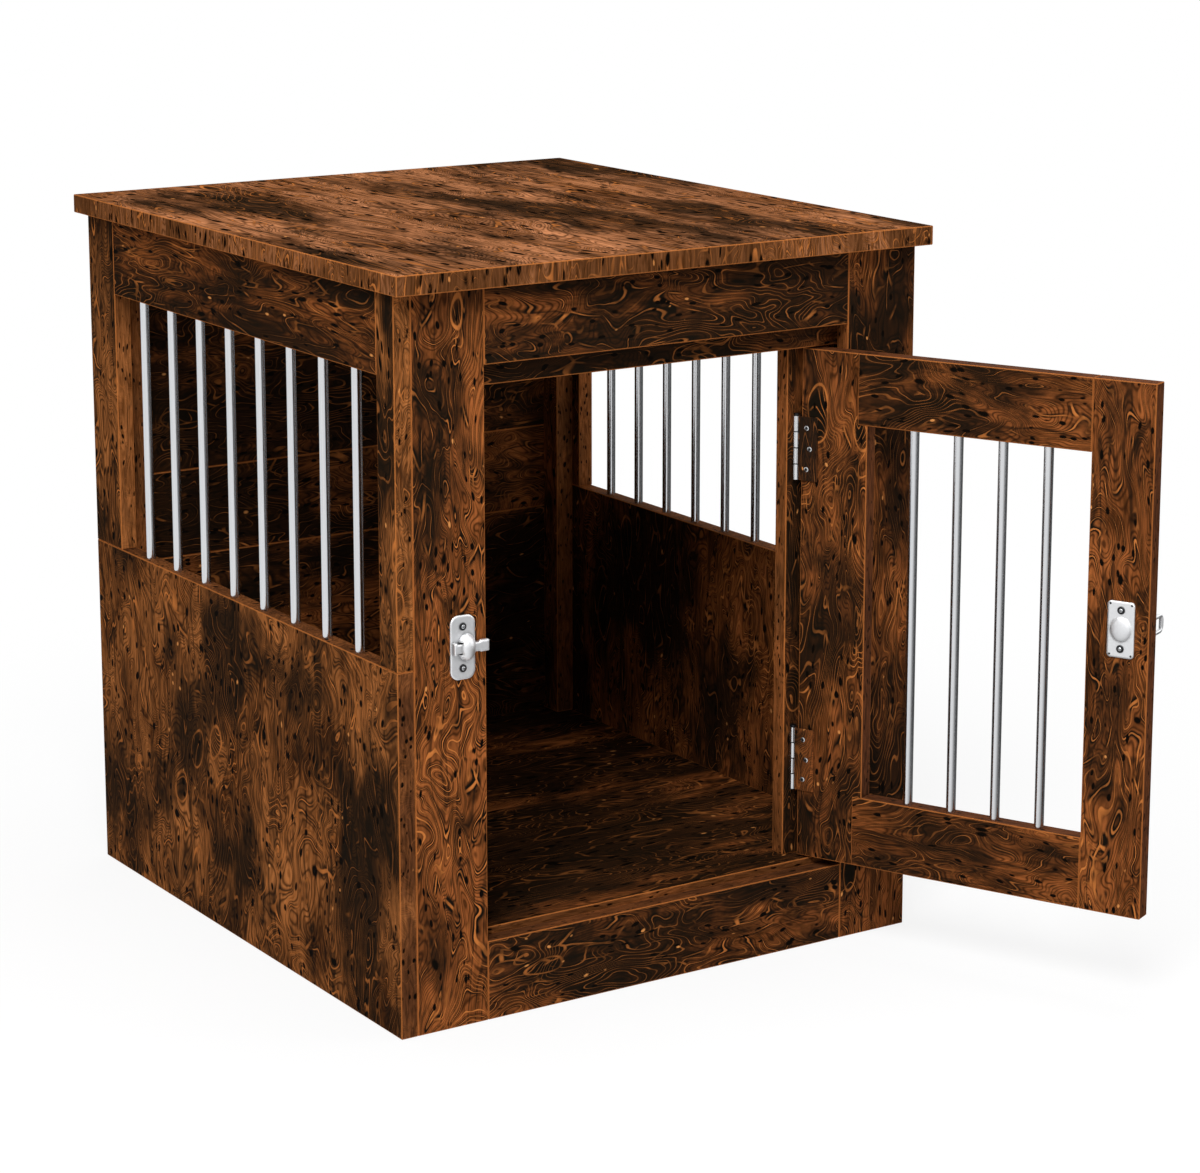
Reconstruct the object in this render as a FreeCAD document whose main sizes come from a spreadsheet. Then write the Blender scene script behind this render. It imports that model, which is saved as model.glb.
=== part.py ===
import FreeCAD, Part
import os
import re

# Pet crate that doubles as an end table: board cabinet, barred side windows, a barred door on two
# butt hinges and a sliding latch. Millimetres, +Z up, the origin on the floor under the middle of
# the cabinet, the front towards -Y. The door is drawn standing open.

# Driving sizes. Every other length is worked out from these.
SIZES = {
    # cabinet
    "body_width": 500.0,
    "body_depth": 546.0,
    "body_height": 611.0,
    "board": 15.0,
    "edge_ease": 0.6,
    "top_thick": 16.0,
    "top_side_overhang": 6.0,
    "top_end_overhang": 16.0,
    "left_stile_width": 80.0,
    "right_stile_width": 69.0,
    "top_rail_height": 62.0,
    "bottom_rail_height": 66.0,
    "head_rail_drop": 19.0,
    "head_rail_height": 60.0,
    "floor_rise": 6.0,
    "side_panel_height": 299.0,
    "back_lower_height": 276.0,
    "back_middle_height": 80.0,
    "side_top_rail_height": 66.0,
    "side_front_stile_width": 12.0,
    "side_rear_stile_width": 51.0,
    "post_thick": 18.0,
    "rear_post_depth": 24.0,
    "cleat_thick": 18.0,
    "cleat_height": 20.0,
    # bars
    "bar_radius": 4.0,
    "bar_seat": 10.0,
    "bar_clearance": 0.1,
    "side_bar_end": 45.0,
    # dowels
    "dowel_radius": 4.0,
    "dowel_length": 30.0,
    "dowel_clearance": 0.1,
    "dowel_edge": 16.0,
    # door
    "door_angle": 115.0,
    "door_thick": 15.0,
    "door_recess": 0.5,
    "door_gap": 1.5,
    "latch_gap": 1.5,
    "door_setback": 5.5,
    "door_hinge_stile_width": 61.0,
    "door_free_stile_width": 53.5,
    "door_rail_height": 60.0,
    "door_rail_housing": 9.0,
    # hinges
    "hinge_inset": 30.0,
    "hinge_length": 54.0,
    "hinge_end": 58.0,
    "knuckle_radius": 3.0,
    "knuckle_gap": 0.9,
    "leaf_thick": 1.2,
    "leaf_gap": 0.3,
    "leaf_width": 21.0,
    "jamb_lip": 8.0,
    "pin_radius": 1.5,
    "pin_clearance": 0.05,
    "pin_head_radius": 2.6,
    "pin_head_height": 1.2,
    "hinge_screw_end": 9.5,
    "hinge_screw_row": 10.5,
    "hinge_screw_stagger": 3.0,
    # screws
    "screw_head_radius": 2.3,
    "screw_shank_radius": 1.2,
    "screw_length": 12.0,
    "screw_clearance": 0.1,
    "pan_head_radius": 3.1,
    "pan_head_height": 1.6,
    "pan_shank_radius": 1.6,
    "top_screw_end": 60.0,
    "top_screw_bite": 11.0,
    # latch
    "latch_height": 312.0,
    "latch_edge": 11.0,
    "latch_plate_width": 22.0,
    "latch_plate_height": 51.5,
    "latch_plate_thick": 1.5,
    "latch_plate_corner": 7.0,
    "latch_screw_spacing": 33.5,
    "housing_width": 16.0,
    "housing_height": 22.5,
    "housing_depth": 7.5,
    "housing_mouth": 2.2,
    "bolt_gap": 0.3,
    "bolt_bar_height": 7.0,
    "bolt_tip_height": 9.5,
    "bolt_tip_length": 8.5,
    "bolt_thick": 4.0,
    "bolt_reach": 11.0,
    "bolt_flange": 2.0,
    "bolt_flange_edge": 1.3,
    "bolt_ease": 0.8,
    # keeper
    "keeper_edge": 4.0,
    "keeper_plate_width": 23.0,
    "keeper_plate_height": 46.0,
    "keeper_plate_corner": 3.0,
    "keeper_plate_edge": 12.0,
    "keeper_screw_spacing": 31.6,
    "keeper_boss_width": 18.0,
    "keeper_boss_height": 20.0,
    "keeper_boss_depth": 2.5,
    "loop_width": 3.0,
    "loop_band": 2.5,
    "loop_room": 0.5,
    "loop_corner": 6.0,
    # length by which a cut runs past the face it starts from
    "overrun": 1.0,
}

# How many of each repeated piece
LEFT_BARS = 8
RIGHT_BARS = 9
DOOR_BARS = 4
KNUCKLES = 4
TOP_SCREWS = 3

# Lengths and places worked out from the sizes. Cabinet places start at the front left corner of
# its footprint, door places at the hinge axis with the door shut.
WORKED = {
    "under_top": "body_height - top_thick",
    "inner_width": "body_width - 2 * board",
    "inner_right": "body_width - board",
    "inner_back": "body_depth - board",
    "inner_depth": "body_depth - 2 * board",
    "doorway_right": "body_width - right_stile_width",
    "doorway_width": "doorway_right - left_stile_width",
    "floor_top": "bottom_rail_height + floor_rise",
    "floor_under": "floor_top - board",
    "top_rail_under": "under_top - top_rail_height",
    "head_under": "top_rail_under - head_rail_drop",
    "back_seam": "back_lower_height + back_middle_height",
    "window_front": "board + side_front_stile_width",
    "window_back": "body_depth - side_rear_stile_width",
    "window_top": "under_top - side_top_rail_height",
    "bar_hole": "bar_radius + bar_clearance",
    "side_bar_foot": "side_panel_height - bar_seat",
    "side_bar_length": "window_top + bar_seat - side_bar_foot",
    "side_bar_first": "window_front + side_bar_end",
    "side_bar_span": "window_back - side_bar_end - side_bar_first",
    "left_bar_pitch": "side_bar_span / (left_bar_count - 1)",
    "right_bar_pitch": "side_bar_span / (right_bar_count - 1)",
    "dowel_hole": "dowel_radius + dowel_clearance",
    "dowel_half": "dowel_length / 2",
    "cleat_screw_length": "cleat_height + top_screw_bite",
    "cleat_span": "inner_depth - 2 * rear_post_depth",
    # door
    "door_inner": "board + door_recess + door_thick",
    "hinge_x": "doorway_right - hinge_inset",
    "hinge_y": "door_inner - (knuckle_radius - leaf_thick - leaf_gap)",
    "jamb_front": "hinge_y + knuckle_radius",
    "jamb_left": "hinge_x - jamb_lip",
    "door_bottom": "floor_top + door_gap",
    "door_top": "head_under - door_gap",
    "door_height": "door_top - door_bottom",
    "door_free": "hinge_x - left_stile_width - latch_gap",
    "inner_face": "door_inner - hinge_y",
    "outer_face": "inner_face - door_thick",
    "door_middle": "inner_face - door_thick / 2",
    "hinge_stile_edge": "door_setback + door_hinge_stile_width",
    "free_stile_edge": "door_free - door_free_stile_width",
    "rail_start": "hinge_stile_edge - door_rail_housing",
    "rail_length": "free_stile_edge - rail_start",
    "door_top_rail_under": "door_top - door_rail_height",
    "door_bottom_rail_top": "door_bottom + door_rail_height",
    "door_bar_foot": "door_bottom_rail_top - bar_seat",
    "door_bar_length": "door_top_rail_under + bar_seat - door_bar_foot",
    "door_bar_pitch": "(free_stile_edge - hinge_stile_edge) / (door_bar_count + 1)",
    # hinges
    "upper_hinge": "door_top - hinge_end - hinge_length",
    "lower_hinge": "door_bottom + hinge_end",
    "knuckle_pitch": "(hinge_length + knuckle_gap) / knuckle_count",
    "knuckle_length": "knuckle_pitch - knuckle_gap",
    "leaf_start": "knuckle_radius + leaf_gap",
    "leaf_plate": "leaf_width - leaf_start",
    "pin_bore": "pin_radius + pin_clearance",
    "frame_leaf_face": "knuckle_radius - leaf_thick",
    # latch
    "latch_right": "left_stile_width - latch_edge",
    "latch_left": "latch_right - latch_plate_width",
    "latch_middle": "latch_right - latch_plate_width / 2",
    "housing_left": "latch_right - housing_width",
    "bolt_inner": "latch_plate_thick + bolt_gap",
    "bolt_outer": "bolt_inner + bolt_thick",
    "bolt_right": "latch_right + bolt_reach",
    "bolt_bar_end": "bolt_right - bolt_tip_length",
    "housing_middle": "latch_right - housing_width / 2",
    "bolt_left": "latch_left + bolt_flange_edge",
    "tunnel_height": "bolt_bar_height + 2 * bolt_gap",
    "chamber_height": "bolt_tip_height + 2 * bolt_gap",
    "tunnel_depth": "bolt_outer + bolt_gap",
    # keeper
    "keeper_middle": "door_free - keeper_plate_edge - keeper_plate_width / 2",
    "loop_start": "door_free - keeper_edge",
    "loop_hole": "bolt_tip_height / 2 + loop_room",
    "loop_outside": "loop_hole + loop_band",
    "loop_hole_end": "board + door_recess + bolt_outer + loop_room",
    "loop_end": "loop_hole_end + loop_band",
    "loop_foot": "latch_plate_thick",
    "keeper_base_length": "keeper_plate_edge + keeper_plate_width - keeper_edge",
    "keeper_bolt_length": "door_thick + 2 * latch_plate_thick",
}

doc = FreeCAD.newDocument("pet_crate")
sheet = doc.addObject("Spreadsheet::Sheet", "Sizes")
parts = {}

COUNTS = {
    "left_bar_count": LEFT_BARS,
    "right_bar_count": RIGHT_BARS,
    "door_bar_count": DOOR_BARS,
    "knuckle_count": KNUCKLES,
}

# Turn that takes the upright axis of a round piece to each direction
X_AXIS = FreeCAD.Vector(1, 0, 0)
Y_AXIS = FreeCAD.Vector(0, 1, 0)
TURNS = {
    "+z": FreeCAD.Rotation(),
    "-z": FreeCAD.Rotation(X_AXIS, 180),
    "+x": FreeCAD.Rotation(Y_AXIS, 90),
    "-x": FreeCAD.Rotation(Y_AXIS, -90),
    "+y": FreeCAD.Rotation(X_AXIS, -90),
    "-y": FreeCAD.Rotation(X_AXIS, 90),
}


def fill_sheet():
    cells = {**SIZES, **COUNTS}
    for row, (name, value) in enumerate(cells.items(), start=1):
        sheet.set(f"A{row}", name)
        sheet.set(f"B{row}", str(value))
        sheet.setAlias(f"B{row}", name)
    doc.recompute()


def formula(text):
    """The text with sheet names in place of size names, and worked lengths written out."""

    def swap(found):
        name = found.group(0)
        if name in WORKED:
            return f"({formula(WORKED[name])})"
        if name in SIZES or name in COUNTS:
            return f"Sizes.{name}"
        return name

    return re.sub(r"[A-Za-z_]\w*", swap, text)


def bind(item, **values):
    for name, text in values.items():
        item.setExpression(name, formula(text))


def move(item, spot, turn="+z"):
    item.Placement = FreeCAD.Placement(FreeCAD.Vector(), TURNS[turn])
    for axis, text in zip("xyz", spot):
        item.setExpression(f"Placement.Base.{axis}", formula(text))


def in_cabinet(item):
    move(item, ("-body_width / 2", "-body_depth / 2", "0"))


def on_door(item):
    move(item, ("hinge_x - body_width / 2", "hinge_y - body_depth / 2", "0"))
    item.setExpression("Placement.Rotation.Angle", formula("door_angle * 1 deg"))


def new_body(label, home):
    body = doc.addObject("PartDesign::Body", label)
    body.Label = label
    home(body)
    parts[label] = body
    return body


def feature(body, kind, label, spot, turn="+z", **values):
    """A block, rod or cone that the body gains or loses."""
    item = body.newObject(f"PartDesign::{kind}", f"{body.Name}_{label}")
    bind(item, **values)
    move(item, spot, turn)
    return item


def ease(body, size="edge_ease"):
    """Breaks every edge of what the body has so far."""
    last = body.Tip
    broken = body.newObject("PartDesign::Chamfer", f"{body.Name}_ease")
    broken.Base = (last, [""])
    broken.UseAllEdges = True
    bind(broken, Size=size)
    body.Tip = broken


def board(label, home, corner, size):
    """A flat board cut square, with its sharp edges taken off."""
    body = new_body(label, home)
    length, width, height = size
    feature(body, "AdditiveBox", "blank", corner, Length=length, Width=width, Height=height)
    ease(body)
    return body


def drill(body, label, spot, turn, radius, depth, row=None):
    """A round hole, or a straight row of them: row is its axis, its count and its whole span."""
    hole = feature(
        body, "SubtractiveCylinder", label, spot, turn, Radius=radius, Height=depth
    )
    if row:
        repeat(body, hole, *row)


def repeat(body, item, axis, count, span):
    row = body.newObject("PartDesign::LinearPattern", f"{item.Name}_row")
    row.Originals = [item]
    ends = [o for o in body.Origin.OriginFeatures if o.Role == f"{axis}_Axis"]
    row.Direction = (ends[0], [""])
    row.Occurrences = count
    bind(row, Length=span)
    body.Tip = row


def group(label, home, items):
    """Like pieces that share one node as separate solids."""
    bundle = doc.addObject("Part::Compound", label)
    bundle.Label = label
    bundle.Links = items
    home(bundle)
    parts[label] = bundle


def rods(label, home, spots, turn, radius, length):
    items = []
    for number, spot in enumerate(spots, start=1):
        rod = doc.addObject("Part::Cylinder", f"{label}_{number}")
        bind(rod, Radius=radius, Height=length)
        move(rod, spot, turn)
        items.append(rod)
    group(label, home, items)


def screw(name, spot, turn, head, shank):
    """A screw with its head at the spot and its shank running along the turn."""
    head_item = doc.addObject(head[0], f"{name}_head")
    bind(head_item, **head[1])
    move(head_item, ("0", "0", head[2]))
    shank_item = doc.addObject("Part::Cylinder", f"{name}_shank")
    bind(shank_item, Radius=shank[0], Height=shank[1])
    joined = doc.addObject("Part::Fuse", name)
    joined.Base = head_item
    joined.Tool = shank_item
    move(joined, spot, turn)
    return joined


def flat_screws(label, home, spots, turn):
    """Countersunk screws, flush with a hinge leaf."""
    cone = {"Radius1": "screw_head_radius", "Radius2": "screw_shank_radius", "Height": "leaf_thick"}
    head = ("Part::Cone", cone, "0")
    shank = ("screw_shank_radius", "screw_length")
    items = [screw(f"{label}_{n}", spot, turn, head, shank) for n, spot in enumerate(spots, 1)]
    group(label, home, items)


def pan_screws(label, home, spots, turn, length):
    """Screws whose round head stands proud of the plate: the spot is on the plate."""
    disc = {"Radius": "pan_head_radius", "Height": "pan_head_height"}
    head = ("Part::Cylinder", disc, "-pan_head_height")
    shank = ("pan_shank_radius", length)
    items = [screw(f"{label}_{n}", spot, turn, head, shank) for n, spot in enumerate(spots, 1)]
    group(label, home, items)


# The rows of screws that hold the top to its cleats
TOP_SCREW_ROWS = {
    "left": "board + cleat_thick / 2",
    "right": "inner_right - cleat_thick / 2",
}
TOP_SCREW_FIRST = "board + rear_post_depth + top_screw_end"
TOP_SCREW_SPAN = "cleat_span - 2 * top_screw_end"


def table_top():
    size = ("body_width + 2 * top_side_overhang", "body_depth + 2 * top_end_overhang", "top_thick")
    top = board("table_top", in_cabinet, ("-top_side_overhang", "-top_end_overhang", "under_top"), size)
    for side, x in TOP_SCREW_ROWS.items():
        spot = (x, TOP_SCREW_FIRST, "under_top")
        radius = "pan_shank_radius + screw_clearance"
        row = ("Y", TOP_SCREWS, TOP_SCREW_SPAN)
        drill(top, f"{side}_screw", spot, "+z", radius, "top_screw_bite + screw_clearance", row)


def top_cleats():
    for side, x in (("left", "board"), ("right", "inner_right - cleat_thick")):
        corner = (x, "jamb_front + board", "under_top - cleat_height")
        size = ("cleat_thick", "inner_back - rear_post_depth - jamb_front - board", "cleat_height")
        cleat = board(f"{side}_top_cleat", in_cabinet, corner, size)
        spot = (TOP_SCREW_ROWS[side], TOP_SCREW_FIRST, "under_top - cleat_height - overrun")
        radius = "pan_shank_radius + screw_clearance"
        row = ("Y", TOP_SCREWS, TOP_SCREW_SPAN)
        drill(cleat, "screw", spot, "+z", radius, "cleat_height + 2 * overrun", row)
    spots = []
    for x in TOP_SCREW_ROWS.values():
        for number in range(TOP_SCREWS):
            y = f"{TOP_SCREW_FIRST} + ({TOP_SCREW_SPAN}) * {number} / {TOP_SCREWS - 1}"
            spots.append((x, y, "under_top - cleat_height"))
    pan_screws("top_screws", in_cabinet, spots, "+z", "cleat_screw_length")


# Heights of the dowels in each joint of the front frame and of the door frame
FRONT_DOWELS = {
    "top": ("top_rail_under + dowel_edge", "under_top - dowel_edge"),
    "bottom": ("dowel_edge", "bottom_rail_height - dowel_edge"),
}
DOOR_DOWELS = {
    "top": ("door_top_rail_under + dowel_edge", "door_top - dowel_edge"),
    "bottom": ("door_bottom + dowel_edge", "door_bottom_rail_top - dowel_edge"),
}


def front_frame():
    stiles = {
        "left": ("board", "left_stile_width - board", "left_stile_width", "-x"),
        "right": ("doorway_right", "right_stile_width", "doorway_right", "+x"),
    }
    for side, (x, width, edge, inwards) in stiles.items():
        stile = board(
            f"front_{side}_stile", in_cabinet, (x, "0", "0"), (width, "board", "under_top")
        )
        for end, heights in FRONT_DOWELS.items():
            for number, z in enumerate(heights, start=1):
                spot = (edge, "board / 2", z)
                depth = "dowel_half + dowel_clearance"
                drill(stile, f"{end}_dowel_{number}", spot, inwards, "dowel_hole", depth)
        if side == "left":
            for number, sign in enumerate("-+", start=1):
                spot = ("latch_middle", "-overrun", f"latch_height {sign} latch_screw_spacing / 2")
                radius = "pan_shank_radius + screw_clearance"
                depth = "screw_length + overrun"
                drill(stile, f"latch_screw_{number}", spot, "+y", radius, depth)
    rails = {
        "top": ("top_rail_under", "top_rail_height"),
        "bottom": ("0", "bottom_rail_height"),
    }
    ends = (("left", "left_stile_width", "+x"), ("right", "doorway_right", "-x"))
    spots = []
    for end, (z, height) in rails.items():
        corner = ("left_stile_width", "0", z)
        rail = board(f"front_{end}_rail", in_cabinet, corner, ("doorway_width", "board", height))
        for number, level in enumerate(FRONT_DOWELS[end], start=1):
            for side, edge, inwards in ends:
                spot = (edge, "board / 2", level)
                depth = "dowel_half + dowel_clearance"
                drill(rail, f"{side}_dowel_{number}", spot, inwards, "dowel_hole", depth)
                spots.append((f"{edge} - dowel_half", "board / 2", level))
    rods("front_dowels", in_cabinet, spots, "+x", "dowel_radius", "dowel_length")
    corner = ("board", "board", "head_under")
    board("door_head_rail", in_cabinet, corner, ("inner_width", "board", "head_rail_height"))


def side_walls():
    """Walls with a barred window: the left one shows its front edge, a stile covers the right one's."""
    walls = {"left": ("0", "0", LEFT_BARS), "right": ("inner_right", "board", RIGHT_BARS)}
    for side, (x, front, bars) in walls.items():
        middle = f"{x} + board / 2"
        size = ("board", f"body_depth - {front}", "side_panel_height")
        panel = board(f"{side}_side_panel", in_cabinet, (x, front, "0"), size)
        spot = (middle, "side_bar_first", "side_bar_foot")
        row = ("Y", bars, "side_bar_span")
        drill(panel, "bar", spot, "+z", "bar_hole", "bar_seat + overrun", row)
        size = ("board", "window_back - window_front", "side_top_rail_height")
        rail = board(f"{side}_top_rail", in_cabinet, (x, "window_front", "window_top"), size)
        spot = (middle, "side_bar_first", "window_top - overrun")
        drill(rail, "bar", spot, "+z", "bar_hole", "bar_seat + bar_clearance + overrun", row)
        stiles = {
            "front": (front, f"window_front - {front}"),
            "rear": ("window_back", "side_rear_stile_width"),
        }
        for end, (y, width) in stiles.items():
            corner = (x, y, "side_panel_height")
            size = ("board", width, "under_top - side_panel_height")
            board(f"{side}_{end}_stile", in_cabinet, corner, size)
        spots = [
            (middle, f"side_bar_first + {side}_bar_pitch * {number}", "side_bar_foot")
            for number in range(bars)
        ]
        rods(f"{side}_bars", in_cabinet, spots, "+z", "bar_radius", "side_bar_length")


def back_and_floor():
    boards = {
        "lower": ("0", "back_lower_height"),
        "middle": ("back_lower_height", "back_middle_height"),
        "upper": ("back_seam", "under_top - back_seam"),
    }
    for level, (z, height) in boards.items():
        corner = ("board", "inner_back", z)
        board(f"back_{level}_panel", in_cabinet, corner, ("inner_width", "board", height))
    corner = ("board", "board", "floor_under")
    board("floor_panel", in_cabinet, corner, ("inner_width", "inner_depth", "board"))
    corner = ("board", "(body_depth - board) / 2", "0")
    board("floor_support_rail", in_cabinet, corner, ("inner_width", "board", "floor_under"))
    runs = {
        "front": ("board", "(body_depth - board) / 2 - board"),
        "rear": ("(body_depth + board) / 2", "inner_back - (body_depth + board) / 2"),
    }
    for side, x in (("left", "board"), ("right", "inner_right - cleat_thick")):
        for end, (y, run) in runs.items():
            corner = (x, y, "floor_under - cleat_height")
            size = ("cleat_thick", run, "cleat_height")
            board(f"{side}_{end}_floor_cleat", in_cabinet, corner, size)


HINGES = ("upper_hinge", "lower_hinge")


def posts():
    """Corner posts on the floor panel, and the jamb that carries the hinges."""
    for side, x in (("left", "board"), ("right", "inner_right - post_thick")):
        corner = (x, "inner_back - rear_post_depth", "floor_top")
        size = ("post_thick", "rear_post_depth", "under_top - floor_top")
        board(f"rear_{side}_post", in_cabinet, corner, size)
        size = ("post_thick", "jamb_front - board", "head_under - floor_top")
        board(f"front_{side}_post", in_cabinet, (x, "board", "floor_top"), size)
    corner = ("jamb_left", "jamb_front", "floor_top")
    size = ("inner_right - jamb_left", "board", "under_top - floor_top")
    jamb = board("hinge_jamb", in_cabinet, corner, size)
    for hinge in HINGES:
        for number, (across, z) in enumerate(leaf_screws(hinge), start=1):
            spot = (f"hinge_x + {across}", "jamb_front - overrun", z)
            radius = "screw_shank_radius + screw_clearance"
            depth = "screw_length - leaf_thick + overrun + screw_clearance"
            drill(jamb, f"{hinge}_screw_{number}", spot, "+y", radius, depth)


def leaf_screws(hinge):
    """Distance from the hinge axis and height of each screw of one leaf."""
    return (
        ("hinge_screw_row", f"{hinge} + hinge_screw_end"),
        ("(hinge_screw_row + hinge_screw_stagger)", f"{hinge} + hinge_length / 2"),
        ("hinge_screw_row", f"{hinge} + hinge_length - hinge_screw_end"),
    )


def door_frame():
    """Two upright stiles, two rails let into the hinge stile, and upright bars."""
    across = {
        "hinge": ("-hinge_stile_edge", "door_hinge_stile_width", "-rail_start", "+x"),
        "free": ("-door_free", "door_free_stile_width", "-free_stile_edge", "-x"),
    }
    for name, (start, width, joint, inwards) in across.items():
        corner = (start, "outer_face", "door_bottom")
        stile = board(f"door_{name}_stile", on_door, corner, (width, "door_thick", "door_height"))
        if name == "hinge":
            housings = (("top", "door_top_rail_under"), ("bottom", "door_bottom"))
            for end, z in housings:
                feature(
                    stile, "SubtractiveBox", f"{end}_housing", (start, "outer_face", z),
                    Length="door_rail_housing", Width="door_thick", Height="door_rail_height",
                )
            for hinge in HINGES:
                for number, (along, z) in enumerate(leaf_screws(hinge), start=1):
                    spot = (f"-{along}", "inner_face + overrun", z)
                    radius = "screw_shank_radius + screw_clearance"
                    depth = "screw_length - leaf_thick + overrun + screw_clearance"
                    drill(stile, f"{hinge}_screw_{number}", spot, "-y", radius, depth)
        else:
            for number, z in enumerate(keeper_heights(), start=1):
                spot = ("-keeper_middle", "outer_face - overrun", z)
                radius = "pan_shank_radius + screw_clearance"
                drill(stile, f"keeper_{number}", spot, "+y", radius, "door_thick + 2 * overrun")
        for end, heights in DOOR_DOWELS.items():
            for number, z in enumerate(heights, start=1):
                depth = "dowel_half + dowel_clearance"
                spot = (joint, "door_middle", z)
                drill(stile, f"{end}_dowel_{number}", spot, inwards, "dowel_hole", depth)
    rails = {
        "top": ("door_top_rail_under", "door_top_rail_under - overrun"),
        "bottom": ("door_bottom", "door_bar_foot"),
    }
    ends = (("free", "-free_stile_edge", "+x"), ("hinge", "-rail_start", "-x"))
    spots = []
    for end, (z, hole_start) in rails.items():
        corner = ("-free_stile_edge", "outer_face", z)
        rail = board(
            f"door_{end}_rail", on_door, corner, ("rail_length", "door_thick", "door_rail_height")
        )
        row = ("X", DOOR_BARS, "door_bar_pitch * (door_bar_count - 1)")
        spot = ("-free_stile_edge + door_bar_pitch", "door_middle", hole_start)
        drill(rail, "bar", spot, "+z", "bar_hole", "bar_seat + bar_clearance + overrun", row)
        for number, level in enumerate(DOOR_DOWELS[end], start=1):
            for side, edge, inwards in ends:
                spot = (edge, "door_middle", level)
                depth = "dowel_half + dowel_clearance"
                drill(rail, f"{side}_dowel_{number}", spot, inwards, "dowel_hole", depth)
                spots.append((f"{edge} - dowel_half", "door_middle", level))
    rods("door_dowels", on_door, spots, "+x", "dowel_radius", "dowel_length")
    spots = [
        (f"-free_stile_edge + door_bar_pitch * {number}", "door_middle", "door_bar_foot")
        for number in range(1, DOOR_BARS + 1)
    ]
    rods("door_bars", on_door, spots, "+z", "bar_radius", "door_bar_length")


def hinge_leaf(label, home, hinge, plate_start, tab_start, face, first, screw_side):
    """A leaf with its two knuckles: the plate lies clear of the other leaf's knuckles."""
    x, y = ("0", "0") if home is on_door else ("hinge_x", "hinge_y")
    leaf = new_body(label, home)
    plate = (f"{x} + {plate_start}", f"{y} + {face}", hinge)
    feature(
        leaf, "AdditiveBox", "plate", plate,
        Length="leaf_plate", Width="leaf_thick", Height="hinge_length",
    )
    foot = f"{hinge} + knuckle_pitch * {first}"
    tab = feature(
        leaf, "AdditiveBox", "tab", (f"{x} + {tab_start}", f"{y} + {face}", foot),
        Length="leaf_start + leaf_thick", Width="leaf_thick", Height="knuckle_length",
    )
    repeat(leaf, tab, "Z", KNUCKLES // 2, "2 * knuckle_pitch")
    knuckle = feature(
        leaf, "AdditiveCylinder", "knuckle", (x, y, foot),
        Radius="knuckle_radius", Height="knuckle_length",
    )
    repeat(leaf, knuckle, "Z", KNUCKLES // 2, "2 * knuckle_pitch")
    bore = (x, y, f"{hinge} - overrun")
    drill(leaf, "bore", bore, "+z", "pin_bore", "hinge_length + 2 * overrun")
    turn = "+y" if screw_side == "-" else "-y"
    outer = face if screw_side == "-" else f"{face} + leaf_thick"
    for number, (across, z) in enumerate(leaf_screws(hinge), start=1):
        sign = "-" if home is on_door else "+"
        sink = (f"{x} {sign} {across}", f"{y} + {outer}", z)
        feature(
            leaf, "SubtractiveCone", f"sink_{number}", sink, turn,
            Radius1="screw_head_radius + screw_clearance",
            Radius2="screw_shank_radius + screw_clearance",
            Height="leaf_thick",
        )


def hinges():
    frame_spots = []
    door_spots = []
    for hinge in HINGES:
        hinge_leaf(
            f"{hinge}_frame_leaf", in_cabinet, hinge, "leaf_start", "0", "frame_leaf_face", 0, "-"
        )
        hinge_leaf(
            f"{hinge}_door_leaf", on_door, hinge, "-leaf_width", "-leaf_start - leaf_thick",
            "inner_face", 1, "+",
        )
        pin = new_body(f"{hinge}_pin", in_cabinet)
        feature(
            pin, "AdditiveCylinder", "rod", ("hinge_x", "hinge_y", hinge),
            Radius="pin_radius", Height="hinge_length + knuckle_gap",
        )
        feature(
            pin, "AdditiveCylinder", "head",
            ("hinge_x", "hinge_y", f"{hinge} + hinge_length + knuckle_gap"),
            Radius="pin_head_radius", Height="pin_head_height",
        )
        for across, z in leaf_screws(hinge):
            frame_spots.append((f"hinge_x + {across}", "hinge_y + frame_leaf_face", z))
            door_spots.append((f"-{across}", "inner_face + leaf_thick", z))
    flat_screws("hinge_frame_screws", in_cabinet, frame_spots, "+y")
    flat_screws("hinge_door_screws", on_door, door_spots, "-y")


# Share of an edge's run that lies along an axis, from which the edge counts as parallel to it
PARALLEL_SHARE = 0.999


def round_edges(body, label, axis, radius, picked=lambda middle: True):
    """Rounds the edges of the body's newest block that run along one axis."""
    doc.recompute()
    block = body.Tip
    names = []
    for number, edge in enumerate(block.Shape.Edges, start=1):
        run = edge.tangentAt(edge.FirstParameter)
        if abs(run.dot(axis)) > PARALLEL_SHARE and picked(edge.CenterOfMass):
            names.append(f"Edge{number}")
    fillet = body.newObject("PartDesign::Fillet", f"{body.Name}_{label}")
    fillet.Base = (block, names)
    bind(fillet, Radius=radius)
    body.Tip = fillet


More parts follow.
